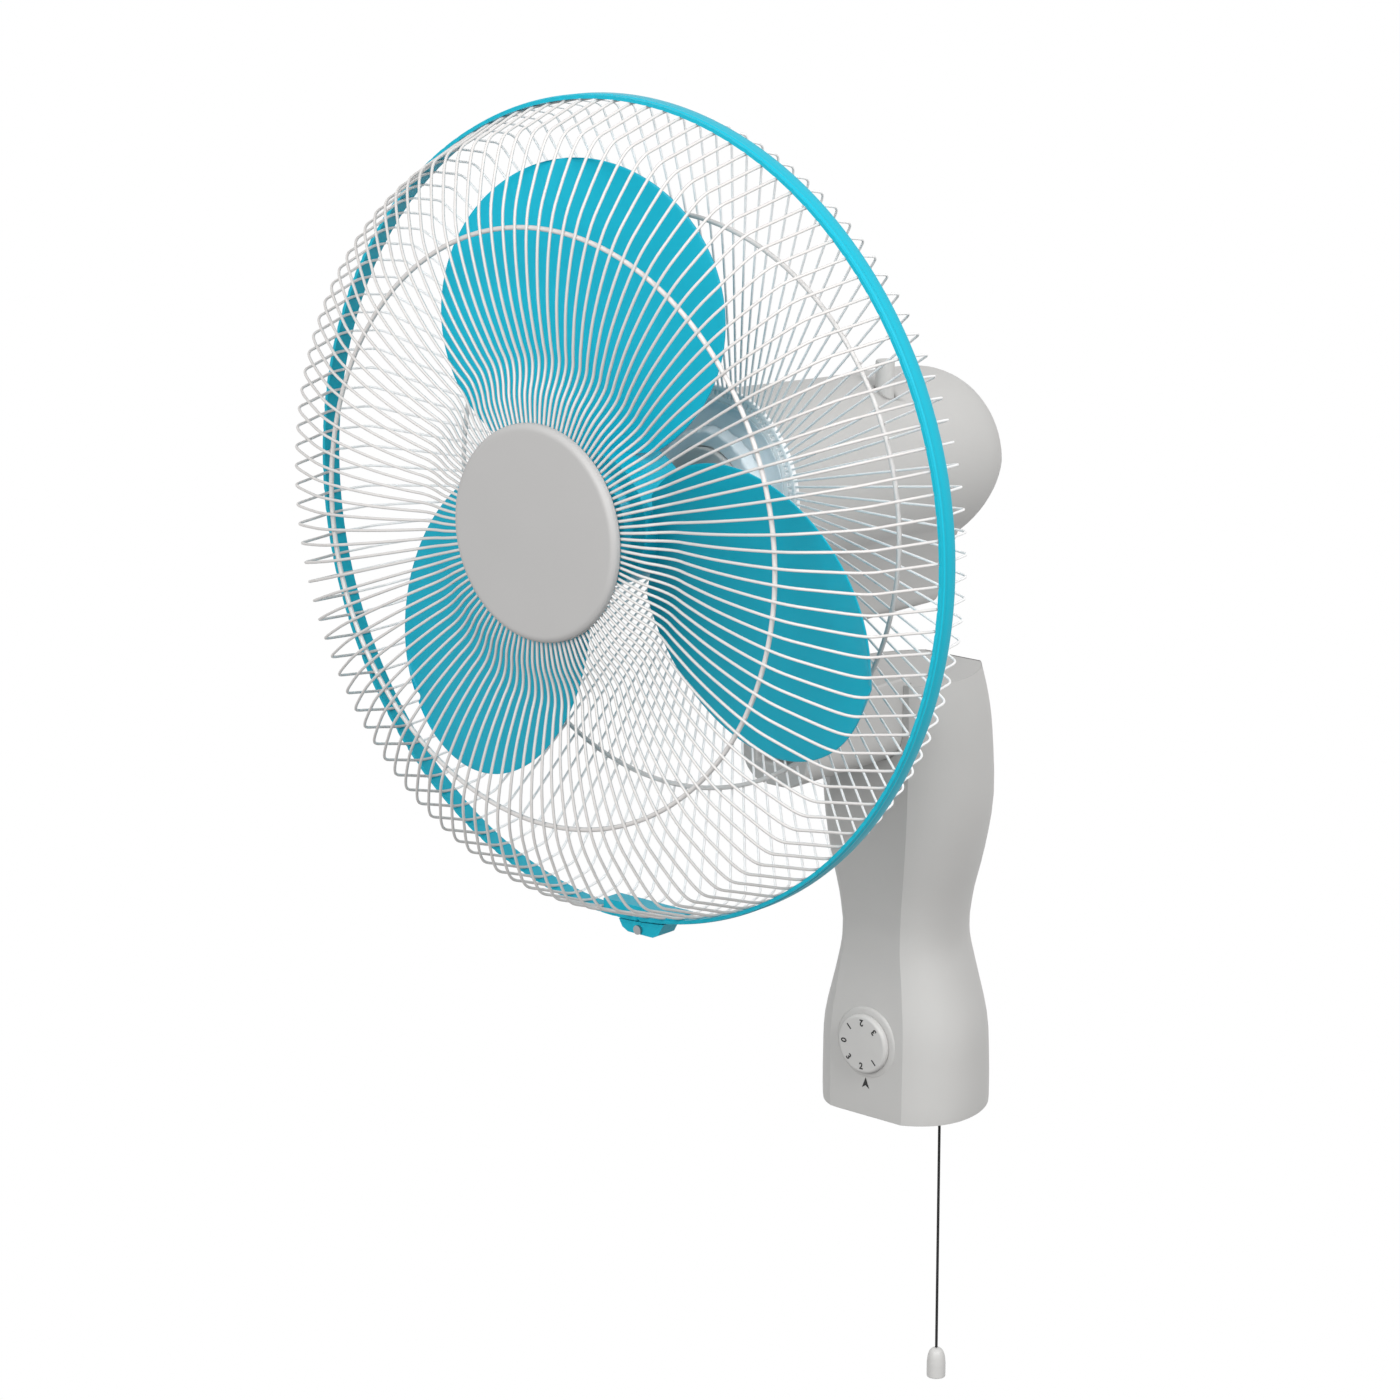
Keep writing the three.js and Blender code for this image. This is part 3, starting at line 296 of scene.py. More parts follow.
def finishMesh(name, points, faces, sharp=40):
    mesh = bpy.data.meshes.new(name)
    mesh.from_pydata([tuple(point) for point in points], [], faces)
    work = bmesh.new()
    work.from_mesh(mesh)
    bmesh.ops.remove_doubles(work, verts=work.verts, dist=meshSettings["weld"])
    bmesh.ops.dissolve_degenerate(work, edges=work.edges, dist=meshSettings["sliver"])
    bmesh.ops.recalc_face_normals(work, faces=work.faces)
    work.to_mesh(mesh)
    work.free()
    smoothShade(mesh, sharp)
    piece = bpy.data.objects.new(name, mesh)
    scene.collection.objects.link(piece)
    return piece


def fit(piece, body, material, slot, *stoodFor):
    # gives a piece its material, the body it moves with and the CAD nodes it stands for
    piece.data.materials.clear()
    piece.data.materials.append(material)
    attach(piece, body)
    if stoodFor:
        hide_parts(*stoodFor)
    return piece


def rounded(points, reach, closed=False, steps=4):
    # an outline whose corners are turned into short curves
    corners = [Vector(point) for point in points]
    share = meshSettings["cornerShare"]
    line = []
    for i, here in enumerate(corners):
        if not closed and i in (0, len(corners) - 1):
            line.append(here)
            continue
        back = corners[i - 1] - here
        on = corners[(i + 1) % len(corners)] - here
        start = here + back.normalized() * min(reach, back.length * share)
        end = here + on.normalized() * min(reach, on.length * share)
        for k in range(steps + 1):
            t = k / steps
            line.append(start * (1 - t) ** 2 + here * (2 * t * (1 - t)) + end * t ** 2)
    return line


def flowing(points, steps):
    # a smooth line through all its points
    corners = [Vector(point) for point in points]
    ends = [corners[0] * 2 - corners[1], *corners, corners[-1] * 2 - corners[-2]]
    line = []
    for i in range(1, len(ends) - 2):
        a, b, c, d = ends[i - 1:i + 3]
        for k in range(steps):
            t = k / steps
            line.append((b * 2 + (c - a) * t + (a * 2 - b * 5 + c * 4 - d) * t ** 2
                         + (b * 3 - a - c * 3 + d) * t ** 3) / 2)
    line.append(corners[-1])
    return line


def skin(rings):
    # points and faces of a closed solid through rings that all have the same count
    count = len(rings[0])
    points = [point for ring in rings for point in ring]
    faces = []
    for level in range(len(rings) - 1):
        here = level * count
        above = here + count
        for i in range(count):
            j = (i + 1) % count
            faces.append((here + i, here + j, above + j, above + i))
    faces.append(tuple(range(count)))
    faces.append(tuple(range((len(rings) - 1) * count, len(rings) * count)))
    return points, faces


def turned(name, profile, middle, axis="y", segments=96, closed=False, sharp=40, shape=None):
    # a profile of (radius, along) pairs turned about an axis
    points = []
    for k in range(segments):
        turn = 2 * math.pi * k / segments
        for pair in profile:
            radius, along = shape(turn, *pair) if shape else pair
            x, y = radius * math.cos(turn), radius * math.sin(turn)
            points.append(middle + Vector((x, along, y) if axis == "y" else (x, y, along)))
    count = len(profile)
    faces = []
    for k in range(segments):
        here = k * count
        beside = (k + 1) % segments * count
        for i in range(count if closed else count - 1):
            j = (i + 1) % count
            faces.append((here + i, here + j, beside + j, beside + i))
    return finishMesh(name, points, faces, sharp)


def bar(name, outline, axis, start, end):
    # an outline of pairs pushed along an axis
    if axis == "y":
        rings = [[(x, along, z) for x, z in outline] for along in (start, end)]
    else:
        rings = [[(x, y, along) for x, y in outline] for along in (start, end)]
    return finishMesh(name, *skin(rings))


def wireRun(name, routes, radius, closed=False, smoothness=2):
    # round wire along each of its routes
    curve = bpy.data.curves.new(name, "CURVE")
    curve.dimensions = "3D"
    curve.bevel_depth = radius
    curve.bevel_resolution = smoothness
    curve.use_fill_caps = True
    for route in routes:
        spline = curve.splines.new("POLY")
        spline.points.add(len(route) - 1)
        for point, place in zip(spline.points, route):
            point.co = (*place, 1)
        spline.use_cyclic_u = closed
    piece = bpy.data.objects.new(name, curve)
    scene.collection.objects.link(piece)
    return piece


def carve(piece, operation, *tools, sharp=40):
    # joins or cuts closed tools with a piece and keeps the result as its mesh
    for tool in tools:
        step = piece.modifiers.new("carve", "BOOLEAN")
        step.operation = operation
        step.solver = "EXACT"
        step.object = tool
    bpy.context.view_layer.update()
    graph = bpy.context.evaluated_depsgraph_get()
    mesh = bpy.data.meshes.new_from_object(piece.evaluated_get(graph))
    piece.modifiers.clear()
    piece.data = mesh
    smoothShade(mesh, sharp)
    for tool in tools:
        bpy.data.objects.remove(tool)


def circle(radius, x, y, steps=48):
    turns = [2 * math.pi * k / steps for k in range(steps)]
    return [(x + radius * math.cos(turn), y + radius * math.sin(turn)) for turn in turns]


def soften(piece, width, segments=3):
    bevel = piece.modifiers.new("soften", "BEVEL")
    bevel.width = width
    bevel.segments = segments
    bevel.limit_method = "ANGLE"
    bevel.angle_limit = math.radians(meshSettings["softenFrom"])
    bevel.harden_normals = True


def middleOf(node):
    low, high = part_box(node)
    return (low + high) / 2


def footOf(low, high):
    return Vector(((low.x + high.x) / 2, (low.y + high.y) / 2, low.z))


headAt = middleOf("clamp_ring")
dialAt = middleOf("speed_knob")


def onHead(radius, turn, along):
    return headAt + Vector((radius * math.cos(turn), along, radius * math.sin(turn)))


cordSettings = {
    "radius": 0.0008,
    "top": (0.018, -0.036, -0.1723),
    "end": (0.018, -0.036, -0.3403),
    "points": 24,
}
toggleSettings = {
    # radius, and height above the toggle's lower edge
    "profile": [(0, 0.001), (0.0044, 0.001), (0.0046, 0), (0.0054, 0), (0.0056, 0.0006), (0.0056, 0.0088),
                (0.0052, 0.0128), (0.0043, 0.0158), (0.0028, 0.0176), (0.0012, 0.018), (0, 0.018)],
    "edge": 0.0012,
    "segments": 48,
}


def makePull():
    top = Vector(cordSettings["top"])
    end = Vector(cordSettings["end"])
    count = cordSettings["points"]
    route = [top.lerp(end, k / (count - 1)) for k in range(count)]
    cord = wireRun("pullCord", [route], cordSettings["radius"], smoothness=3)
    fit(cord, "pull", cordWeave, "black_plastic", "pull_cord")
    low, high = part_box("cord_toggle")
    profile = rounded(toggleSettings["profile"], toggleSettings["edge"])
    toggle = turned("cordToggle", profile, footOf(low, high), "z", toggleSettings["segments"])
    fit(toggle, "pull", knobPlastic, "light_plastic", "cord_toggle")


makePull()
print("pull cord made")

columnSettings = {
    # drop below the fan axis, half width and recess of the flat front, widest half, half at the wall
    "upper": [(0.1282, 0.0279, 0.0006, 0.0414, 0.0204), (0.1294, 0.0282, 0.0003, 0.042, 0.0208),
              (0.145, 0.0286, 0.0002, 0.0462, 0.0256), (0.165, 0.0288, 0, 0.049, 0.029),
              (0.203, 0.0282, 0, 0.05, 0.031), (0.235, 0.0254, 0.0015, 0.045, 0.025),
              (0.260, 0.0218, 0.0038, 0.0385, 0.0175), (0.277, 0.0203, 0.0048, 0.0355, 0.0143)],
    "lower": [(0.277, 0.0203, 0.0048, 0.0355, 0.0143), (0.290, 0.0207, 0.0042, 0.0354, 0.0147),
              (0.308, 0.0232, 0.003, 0.040, 0.020), (0.336, 0.0266, 0.0005, 0.048, 0.0285),
              (0.360, 0.0268, 0, 0.0498, 0.0306), (0.3862, 0.0266, 0, 0.050, 0.031),
              (0.389, 0.0258, 0.0008, 0.0486, 0.030), (0.390, 0.0244, 0.0022, 0.047, 0.029)],
    "frontY": -0.0825,
    "backY": -0.007,
    "wall": 0.0024,
    "cornerInset": 0.7,  # of the wall, where the front meets the sides
    "frontLean": 0.0135,
    "backLean": 0.018,
    "bulge": 1.1,
    "forward": 0.09,
    "sideSteps": 22,
    "cavityLevels": (3, -8),  # of the finished rings, counted from either end
    "openingReach": (-0.006, 0.002),
    "cutFrontY": -0.1,
    "seatGap": 0.0003,
    "seatLift": 0.012,
    "cordHole": (0.004, -0.195, -0.181),  # radius and two heights
    "spindleHole": (0.0036, -0.075),  # radius and rear end
}


def columnRing(level, inset):
    settings = columnSettings
    drop, front, recess, widest, back = level
    frontY = settings["frontY"] + recess + inset
    backY = settings["backY"]
    bulge = (widest - inset) * settings["bulge"]
    corner = inset * settings["cornerInset"]
    forward = settings["forward"]
    start = Vector((front - corner, frontY))
    first = Vector((bulge * (1 + forward), frontY + settings["frontLean"]))
    second = Vector((bulge * (1 - forward), backY - settings["backLean"]))
    end = Vector((back - corner, backY))
    right = []
    for k in range(settings["sideSteps"] + 1):
        t = k / settings["sideSteps"]
        right.append(start * (1 - t) ** 3 + first * (3 * t * (1 - t) ** 2)
                     + second * (3 * t ** 2 * (1 - t)) + end * t ** 3)
    z = headAt.z - drop
    left = [(-point.x, point.y, z) for point in reversed(right)]
    return [(point.x, point.y, z) for point in right] + left


def makeColumn():
    settings = columnSettings
    wall = settings["wall"]
    levels = flowing(settings["upper"], 3) + flowing(settings["lower"], 3)[1:]
    shell = finishMesh("columnShell", *skin([columnRing(level, 0) for level in levels]))
    first, last = settings["cavityLevels"]
    hollow = [level.copy() for level in [*levels[first:last], levels[last]]]
    hollow[0][0] = levels[0][0] + wall
    hollow[-1][0] = levels[-1][0] - wall
    inside = finishMesh("inside", *skin([columnRing(level, wall) for level in hollow]))
    rims = []
    for reach in settings["openingReach"]:
        y = settings["backY"] + reach
        right = [(level[4] - wall, y, headAt.z - level[0]) for level in hollow]
        rims.append(right + [(-x, at, z) for x, at, z in reversed(right)])
    opening = finishMesh("opening", *skin(rims))
    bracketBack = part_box("neck_bracket")[1].y
    seatGap = settings["seatGap"]
    cutFront = settings["cutFrontY"]
    seat = bar("seat", bracketOutline(seatGap, settings["seatLift"]), "y", cutFront, bracketBack + seatGap)
    cordX, cordY = cordSettings["top"][:2]
    holeRadius, holeLow, holeHigh = settings["cordHole"]
    cordHole = bar("cordHole", circle(holeRadius, cordX, cordY), "z", holeLow, holeHigh)
    spindleRadius, spindleBack = settings["spindleHole"]
    spindleHole = bar("spindleHole", circle(spindleRadius, 0, dialAt.z), "y", cutFront, spindleBack)
    carve(shell, "DIFFERENCE", inside, opening, seat, cordHole, spindleHole, sharp=25)
    fit(shell, "column", greyPlastic, "grey_plastic", "column_shell")


bracketSettings = {
    "cornerRadius": 0.018,
    "cornerSteps": 12,
    "halfSlot": 0.0128,
    "slotFloor": 0.041,
    "slotBack": -0.121,
    "clear": 0.01,
    "edge": 0.0016,
}


def bracketOutline(grow, lift):
    low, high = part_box("neck_bracket")
    radius = bracketSettings["cornerRadius"]
    steps = bracketSettings["cornerSteps"]
    half = high.x + grow
    bottom = low.z - grow
    right = [(half, high.z + lift)]
    for k in range(steps + 1):
        turn = math.pi / 2 * k / steps
        right.append((half - radius * (1 - math.cos(turn)), bottom + radius * (1 - math.sin(turn))))
    return right + [(-x, z) for x, z in reversed(right)]


def makeBracket():
    settings = bracketSettings
    low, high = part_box("neck_bracket")
    bracket = bar("neckBracket", bracketOutline(0, 0), "y", low.y, high.y)
    half = settings["halfSlot"]
    floor = settings["slotFloor"]
    top = high.z + settings["clear"]
    outline = [(-half, floor), (half, floor), (half, top), (-half, top)]
    carve(bracket, "DIFFERENCE", bar("slot", outline, "y", low.y - settings["clear"], settings["slotBack"]))
    soften(bracket, settings["edge"])
    fit(bracket, "column", greyPlastic, "grey_plastic", "neck_bracket")


makeColumn()
makeBracket()
print("column made")

dialSettings = {
    "edge": 0.0012,
    "draft": 0.0002,
    "softness": 0.0008,
    # digit, and its place round the dial in degrees
    "digits": [("0", 180), ("1", 135), ("2", 90), ("3", 45), ("1", -45), ("2", -90), ("3", -135)],
    "digitRadius": 0.0132,
    "digitSize": 0.0054,
    "digitWeight": 0.00016,
    "inkDepth": 0.0002,
    "arrow": [(0, 0.0034), (0.0027, -0.0031), (0, -0.0014), (-0.0027, -0.0031)],
    "arrowDrop": 0.0245,
    "arrowSink": 0.0004,
}
collarSettings = {
    "radius": 0.0212,
    "bore": 0.0036,
    "gap": 0.0003,
    "flatInset": 0.0018,
    "shoulderInset": 0.0008,
    "shoulderDepth": 0.0003,
    "lip": 0.0001,
    "flare": 0.0003,
    "sink": 0.0012,
}


def makeDial():
    settings = dialSettings
    low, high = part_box("speed_knob")
    radius = (high.x - low.x) / 2
    depth = high.y - low.y
    edge = settings["edge"]
    profile = [(0, -depth), (radius - edge, -depth), (radius - settings["draft"], -depth + edge),
               (radius, 0), (0, 0)]
    profile[1:4] = rounded(profile, settings["softness"])[1:-1]
    dial = turned("speedDial", profile, Vector((0, high.y, dialAt.z)), sharp=50)
    fit(dial, "dial", knobPlastic, "light_plastic", "speed_knob")
    for i, (digit, place) in enumerate(settings["digits"]):
        turn = math.radians(place)
        text = bpy.data.curves.new("digit", "FONT")
        text.body = digit
        text.size = settings["digitSize"]
        text.align_x = "CENTER"
        text.align_y = "CENTER"
        text.extrude = settings["inkDepth"] / 2
        text.offset = settings["digitWeight"]
        mark = bpy.data.objects.new(f"dialDigit{i + 1}", text)
        reach = settings["digitRadius"]
        mark.location = (reach * math.cos(turn), low.y, dialAt.z + reach * math.sin(turn))
        mark.rotation_euler = (math.pi / 2, -(turn + math.pi / 2), 0)
        scene.collection.objects.link(mark)
        fit(mark, "dial", printInk, "black_plastic")


def makeArrow():
    settings = dialSettings
    frontY = columnSettings["frontY"]
    middleZ = dialAt.z - settings["arrowDrop"]
    outline = [(x, middleZ + z) for x, z in settings["arrow"]]
    arrow = bar("dialPointer", outline, "y", frontY - settings["inkDepth"], frontY + settings["arrowSink"])
    fit(arrow, "column", printInk, "black_plastic")


def makeCollar():
    settings = collarSettings
    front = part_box("speed_knob")[1].y + settings["gap"]
    face = columnSettings["frontY"]
    radius = settings["radius"]
    bore = settings["bore"]
    profile = [(bore, front), (radius - settings["flatInset"], front),
               (radius - settings["shoulderInset"], front + settings["shoulderDepth"]),
               (radius, face + settings["lip"]), (radius + settings["flare"], face + settings["sink"]),
               (bore, face + settings["sink"])]
    collar = turned("dialCollar", profile, Vector((0, 0, dialAt.z)), closed=True, sharp=60)
    fit(collar, "column", greyPlastic, "grey_plastic")


makeDial()
makeArrow()
makeCollar()
print("dial made")

motorSettings = {
    # place along the axis behind the clamp ring, and radius
    "levels": [(0.080, 0.0525), (0.0812, 0.054), (0.120, 0.0534), (0.180, 0.0516), (0.230, 0.0514),
               (0.250, 0.0506), (0.260, 0.0488), (0.2685, 0.0446), (0.2738, 0.0378), (0.2762, 0.028),
               (0.2770, 0.012)],
    "segments": 72,
    "front": 0.080,
    "rear": 0.283,
    "sag": 0.006,
    # the dome's lower rear slants forward
    "cutFrom": 0.205,
    "cutBack": 0.018,
    "cutPower": 1.3,
    "cutRadius": 0.04,
    "pivotHole": (0.0127, 0.141, -0.004, 0.012),  # radius, place, heights from the block's floor
    "knobHole": (0.0058, 0.02, 0.08),  # radius, heights above the axis
    "shaftRoom": (0.030, 0.004, 0.1),  # radius, clearance in front, rear end
}
blockSettings = {
    "halfWidth": 0.021,
    "drop": 0.087,
    "rear": 0.243,
    "shoulder": 0.045,
    "shoulderDrop": 0.018,
    "flare": 0.0035,
    "flareRise": 0.014,
    "corner": 0.007,
    "edge": 0.003,
}


def motorRings():
    settings = motorSettings
    for along, radius in flowing(settings["levels"], 3):
        sag = settings["sag"] * (along - settings["front"]) / (settings["rear"] - settings["front"])
        rearShare = max(0.0, along - settings["cutFrom"]) / (settings["rear"] - settings["cutFrom"])
        ring = []
        for k in range(settings["segments"]):
            turn = 2 * math.pi * k / settings["segments"]
            low = max(0.0, -math.sin(turn)) ** settings["cutPower"] * min(1.0, radius / settings["cutRadius"])
            place = onHead(radius, turn, along - settings["cutBack"] * low * rearShare)
            ring.append(place - Vector((0, 0, sag)))
        yield ring


def makeGearBlock():
    settings = blockSettings
    half = settings["halfWidth"]
    drop = settings["drop"]
    right = [(settings["shoulder"], -settings["shoulderDrop"]),
             (half + settings["flare"], -drop + settings["flareRise"]), (half, -drop)]
    corners = right + [(-x, z) for x, z in reversed(right)]
    outline = [(headAt.x + x, headAt.z + z) for x, z in rounded(corners, settings["corner"], steps=5)]
    block = bar("block", outline, "y", headAt.y + motorSettings["front"], headAt.y + settings["rear"])
    soften(block, settings["edge"], 4)
    return block


def makeMotorCover():
    settings = motorSettings
    cover = finishMesh("motorRearCover", *skin(list(motorRings())))
    carve(cover, "UNION", makeGearBlock())
    radius, along, low, high = settings["pivotHole"]
    floor = headAt.z - blockSettings["drop"]
    pivotHole = bar("pivotHole", circle(radius, 0, headAt.y + along), "z", floor + low, floor + high)
    knob = middleOf("oscillation_knob")
    radius, low, high = settings["knobHole"]
    knobHole = bar("knobHole", circle(radius, knob.x, knob.y), "z", headAt.z + low, headAt.z + high)
    radius, clear, rear = settings["shaftRoom"]
    front = headAt.y + settings["front"] - clear
    shaftRoom = bar("shaftRoom", circle(radius, 0, headAt.z), "y", front, headAt.y + rear)
    carve(cover, "DIFFERENCE", pivotHole, knobHole, shaftRoom)
    fit(cover, "head", greyPlastic, "grey_plastic", "motor_rear_cover")


housingSettings = {"bore": 0.0113, "boss": 0.026, "flange": 0.0767, "flangeDepth": 0.003, "edge": 0.0012}


def makeFrontHousing():
    settings = housingSettings
    low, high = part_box("motor_front_housing")
    radius = (high.x - low.x) / 2
    bore = settings["bore"]
    flange = settings["flange"]
    front = low.y - headAt.y
    rear = flange + settings["flangeDepth"]
    corners = [(bore, front), (settings["boss"], front), (settings["boss"], flange), (radius, flange),
               (radius, rear), (bore, rear)]
    profile = rounded(corners, settings["edge"], True, 3)
    housing = turned("motorFrontHousing", profile, headAt, closed=True)
    fit(housing, "head", greyPlastic, "grey_plastic", "motor_front_housing")


knobSettings = {"draft": 0.0004, "edge": 0.0012, "softness": 0.0009, "segments": 48}


def makeOscillationKnob():
    settings = knobSettings
    low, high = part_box("oscillation_knob")
    radius = (high.x - low.x) / 2
    height = high.z - low.z
    corners = [(0, height), (radius - settings["draft"], height), (radius, height - settings["edge"]),
               (radius, 0), (0, 0)]
    profile = rounded(corners, settings["softness"])
    knob = turned("oscillationKnob", profile, footOf(low, high), "z", settings["segments"])
    fit(knob, "push_knob", knobPlastic, "light_plastic", "oscillation_knob")


makeMotorCover()
makeFrontHousing()
makeOscillationKnob()
print("motor made")

bladeSettings = {
    "halfLength": 0.0815,
    "halfWidth": 0.0805,
    "reach": 0.1065,
    "pitch": 0.25,
    "rootPitch": 1.25,
    "pitchFall": 0.35,
    "turn": 100,
    "forward": 0.010,
    "camber": 0.003,
    "thickness": 0.0022,
    "edgeShare": 0.35,  # of the thickness, at the leaf's edge
    "edgePower": 12,
    "thinFrom": 0.9,
    "thinOver": 0.1,
    "thinning": 0.6,
    "rootShare": 0.13,
    "tipShare": 0.985,
    "rows": 44,
    "columns": 34,
}
hubSettings = {
    "radius": 0.036,
    "front": -0.026,
    "back": 0.016,
    "bore": 0.0043,
    "sleeve": (0.010, 0.008),  # radius, depth below the nose
    "nose": 0.010,
    "step": (0.0085, 0.005),  # inset, depth
    "shoulder": 0.0065,
    "wall": (0.003, 0.014),  # thickness, depth below the nose
    "edge": 0.0012,
    "roomDepth": 0.010,
    "roomWall": 0.0025,
    "roomBack": 0.06,
}


def bladePoint(across, out, spin):
    settings = bladeSettings
    share = settings["rootShare"]
    sweep = math.pi * (share + (settings["tipShare"] - share) * out)
    reach = settings["reach"] - settings["halfLength"] * math.cos(sweep)
    side = across * settings["halfWidth"] * math.sin(sweep)
    depth = (settings["camber"] * (1 - across ** 2) - settings["forward"]
             - settings["pitch"] * side * (settings["rootPitch"] - settings["pitchFall"] * out))
    turn = math.radians(settings["turn"] + spin)
    return headAt + Vector((reach * math.cos(turn) - side * math.sin(turn), depth,
                            reach * math.sin(turn) + side * math.cos(turn)))


def makeBlade(name, spin):
    settings = bladeSettings
    edge = settings["edgeShare"]
    thinFrom = settings["thinFrom"]
    rings = []
    for row in range(settings["rows"] + 1):
        out = row / settings["rows"]
        thin = (max(out - thinFrom, 0) / settings["thinOver"]) ** 2
        tip = max(0.0, 1 - thin * settings["thinning"])
        front = []
        back = []
        for i in range(settings["columns"] + 1):
            across = -math.cos(math.pi * i / settings["columns"])
            fullness = edge + (1 - edge) * (1 - abs(across) ** settings["edgePower"]) ** 0.5
            half = Vector((0, settings["thickness"] / 2 * tip * fullness, 0))
            point = bladePoint(across, out, spin)
            front.append(point - half)
            back.append(point + half)
        rings.append(front + back[::-1])
    return finishMesh(name, *skin(rings), 50)


def makeFan():
    settings = hubSettings
    radius = settings["radius"]
    front = settings["front"]
    back = settings["back"]
    bore = settings["bore"]
    sleeve, sleeveDepth = settings["sleeve"]
    stepInset, stepDepth = settings["step"]
    wall, wallDepth = settings["wall"]
    corners = [(bore, front), (radius - settings["nose"], front), (radius - stepInset, front + stepDepth),
               (radius, front + settings["shoulder"]), (radius, back), (radius - wall, back),
               (radius - wall, front + wallDepth), (sleeve, front + sleeveDepth), (sleeve, back),
               (bore, back)]
    fan = turned("fanBlade", rounded(corners, settings["edge"], True, 3), headAt, closed=True)
    blades = [makeBlade(f"leaf{i + 1}", -120 * i) for i in range(3)]
    roomRadius = radius - settings["roomWall"]
    roomBack = settings["roomBack"]
    clearing = [(0, front + settings["roomDepth"]), (roomRadius, front + wallDepth), (roomRadius, roomBack),
                (0, roomBack)]
    for leaf in blades:
        carve(leaf, "DIFFERENCE", turned("room", clearing, headAt, segments=72))
    carve(fan, "UNION", *blades, sharp=35)
    fit(fan, "rotor", cyanBlade, "cyan_plastic", "fan_blade")


bladeNutSettings = {
    # radius, and place in front of the nut's back
    "profile": [(0, -0.014), (0.007, -0.013), (0.011, -0.008), (0.013, 0), (0, 0)],
    "edge": 0.002,
    "segments": 64,
}


def makeBladeNut():
    settings = bladeNutSettings
    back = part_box("blade_nut")[1].y - headAt.y
    corners = [(radius, back + along) for radius, along in settings["profile"]]
    nut = turned("bladeNut", rounded(corners, settings["edge"]), headAt, "y", settings["segments"], sharp=50)
    fit(nut, "rotor", cyanBlade, "cyan_plastic", "blade_nut")


makeFan()
makeBladeNut()
print("blades made")

guardSettings = {
    "wires": 118,
    "wire": 0.0008,
    "rearWire": 0.00066,
    "ringWire": 0.0013,
    "frontRing": 0.157,
    "rearRing": 0.155,
    "weld": 0.0002,
    # radius and place along the axis, from the badge out to the rim
    "front": [(0.0473, -0.0612), (0.058, -0.0612), (0.071, -0.0602), (0.081, -0.0572), (0.090, -0.0562),
              (0.101, -0.0585), (0.122, -0.0615), (0.146, -0.0618), (0.166, -0.0592), (0.183, -0.0526)],
    "shoulder": [(0.183, -0.0526), (0.197, -0.046), (0.2045, -0.0405), (0.2075, -0.031), (0.2168, -0.0045),
                 (0.2172, 0.0046)],
    "shoulderRound": 0.006,
    "rear": [(0.056, 0.075), (0.205, 0.0262), (0.2132, 0.0235), (0.2168, 0.0068), (0.2176, 0.0052)],
    "rearRound": 0.005,
    "hub": (0.0473, -0.0608),
    "rim": (0.2187, 0.0028, 0.001),  # radius, distance either side of the middle, wire
    "hoopSteps": 180,
}


def frontRoute():
    body = flowing(guardSettings["front"], 4)
    shoulder = rounded(guardSettings["shoulder"], guardSettings["shoulderRound"])
    return body + shoulder[1:]


def makeCage(name, route, wire, material, node):
    count = guardSettings["wires"]
    runs = []
    for i in range(count):
        turn = 2 * math.pi * (i + 0.5) / count
        runs.append([onHead(radius, turn, along) for radius, along in route])
    fit(wireRun(name, runs, wire), "head", material, "white_wire", node)


def wireHoop(name, radius, along, wire, *stoodFor):
    steps = guardSettings["hoopSteps"]
    turns = [2 * math.pi * k / steps for k in range(steps)]
    hoop = wireRun(name, [[onHead(radius, turn, along) for turn in turns]], wire, True, 3)
    fit(hoop, "head", whiteWire, "white_wire", *stoodFor)


def placeAt(route, radius):
    # where along the axis a route is at a radius
    for (r0, y0), (r1, y1) in zip(route, route[1:]):
        if r0 <= radius <= r1:
            return y0 + (y1 - y0) * (radius - r0) / (r1 - r0)
    return 0.0


def makeGuards():
    settings = guardSettings
    thick = settings["ringWire"]
    front = frontRoute()
    rear = rounded(settings["rear"], settings["rearRound"], steps=5)
    makeCage("frontGuard", front, settings["wire"], whiteWire, "front_guard")
    makeCage("rearGuard", rear, settings["rearWire"], rearWhitePaintedLight, "rear_guard")
    rimRadius, rimSpacing, rimWire = settings["rim"]
    wireHoop("frontGuardRim", rimRadius, -rimSpacing, rimWire)
    wireHoop("rearGuardRim", rimRadius, rimSpacing, rimWire)
    wireHoop("frontGuardHub", *settings["hub"], thick)
    contact = settings["wire"] + thick - settings["weld"]
    frontRing = settings["frontRing"]
    rearRing = settings["rearRing"]
    wireHoop("frontGuardRing", frontRing, placeAt(front, frontRing) + contact, thick, "front_guard_ring")
    wireHoop("rearGuardRing", rearRing, placeAt(rear, rearRing) - contact, thick, "rear_guard_ring")


hubRingSettings = {
    "outer": 0.0586,
    "inner": 0.0503,
    "front": 0.0733,
    "back": 0.0762,
    "edge": 0.0006,
    "innerFlat": 0.0008,
    "pocket": 0.0014,
    "pocketShare": 0.28,
    "pocketSides": (-0.0012, -0.001, 0.0018, 0.002),  # tops and feet of its two walls
    "pocketFloor": (-0.0011, 0.0019),
    "stepsPerWire": 4,
}


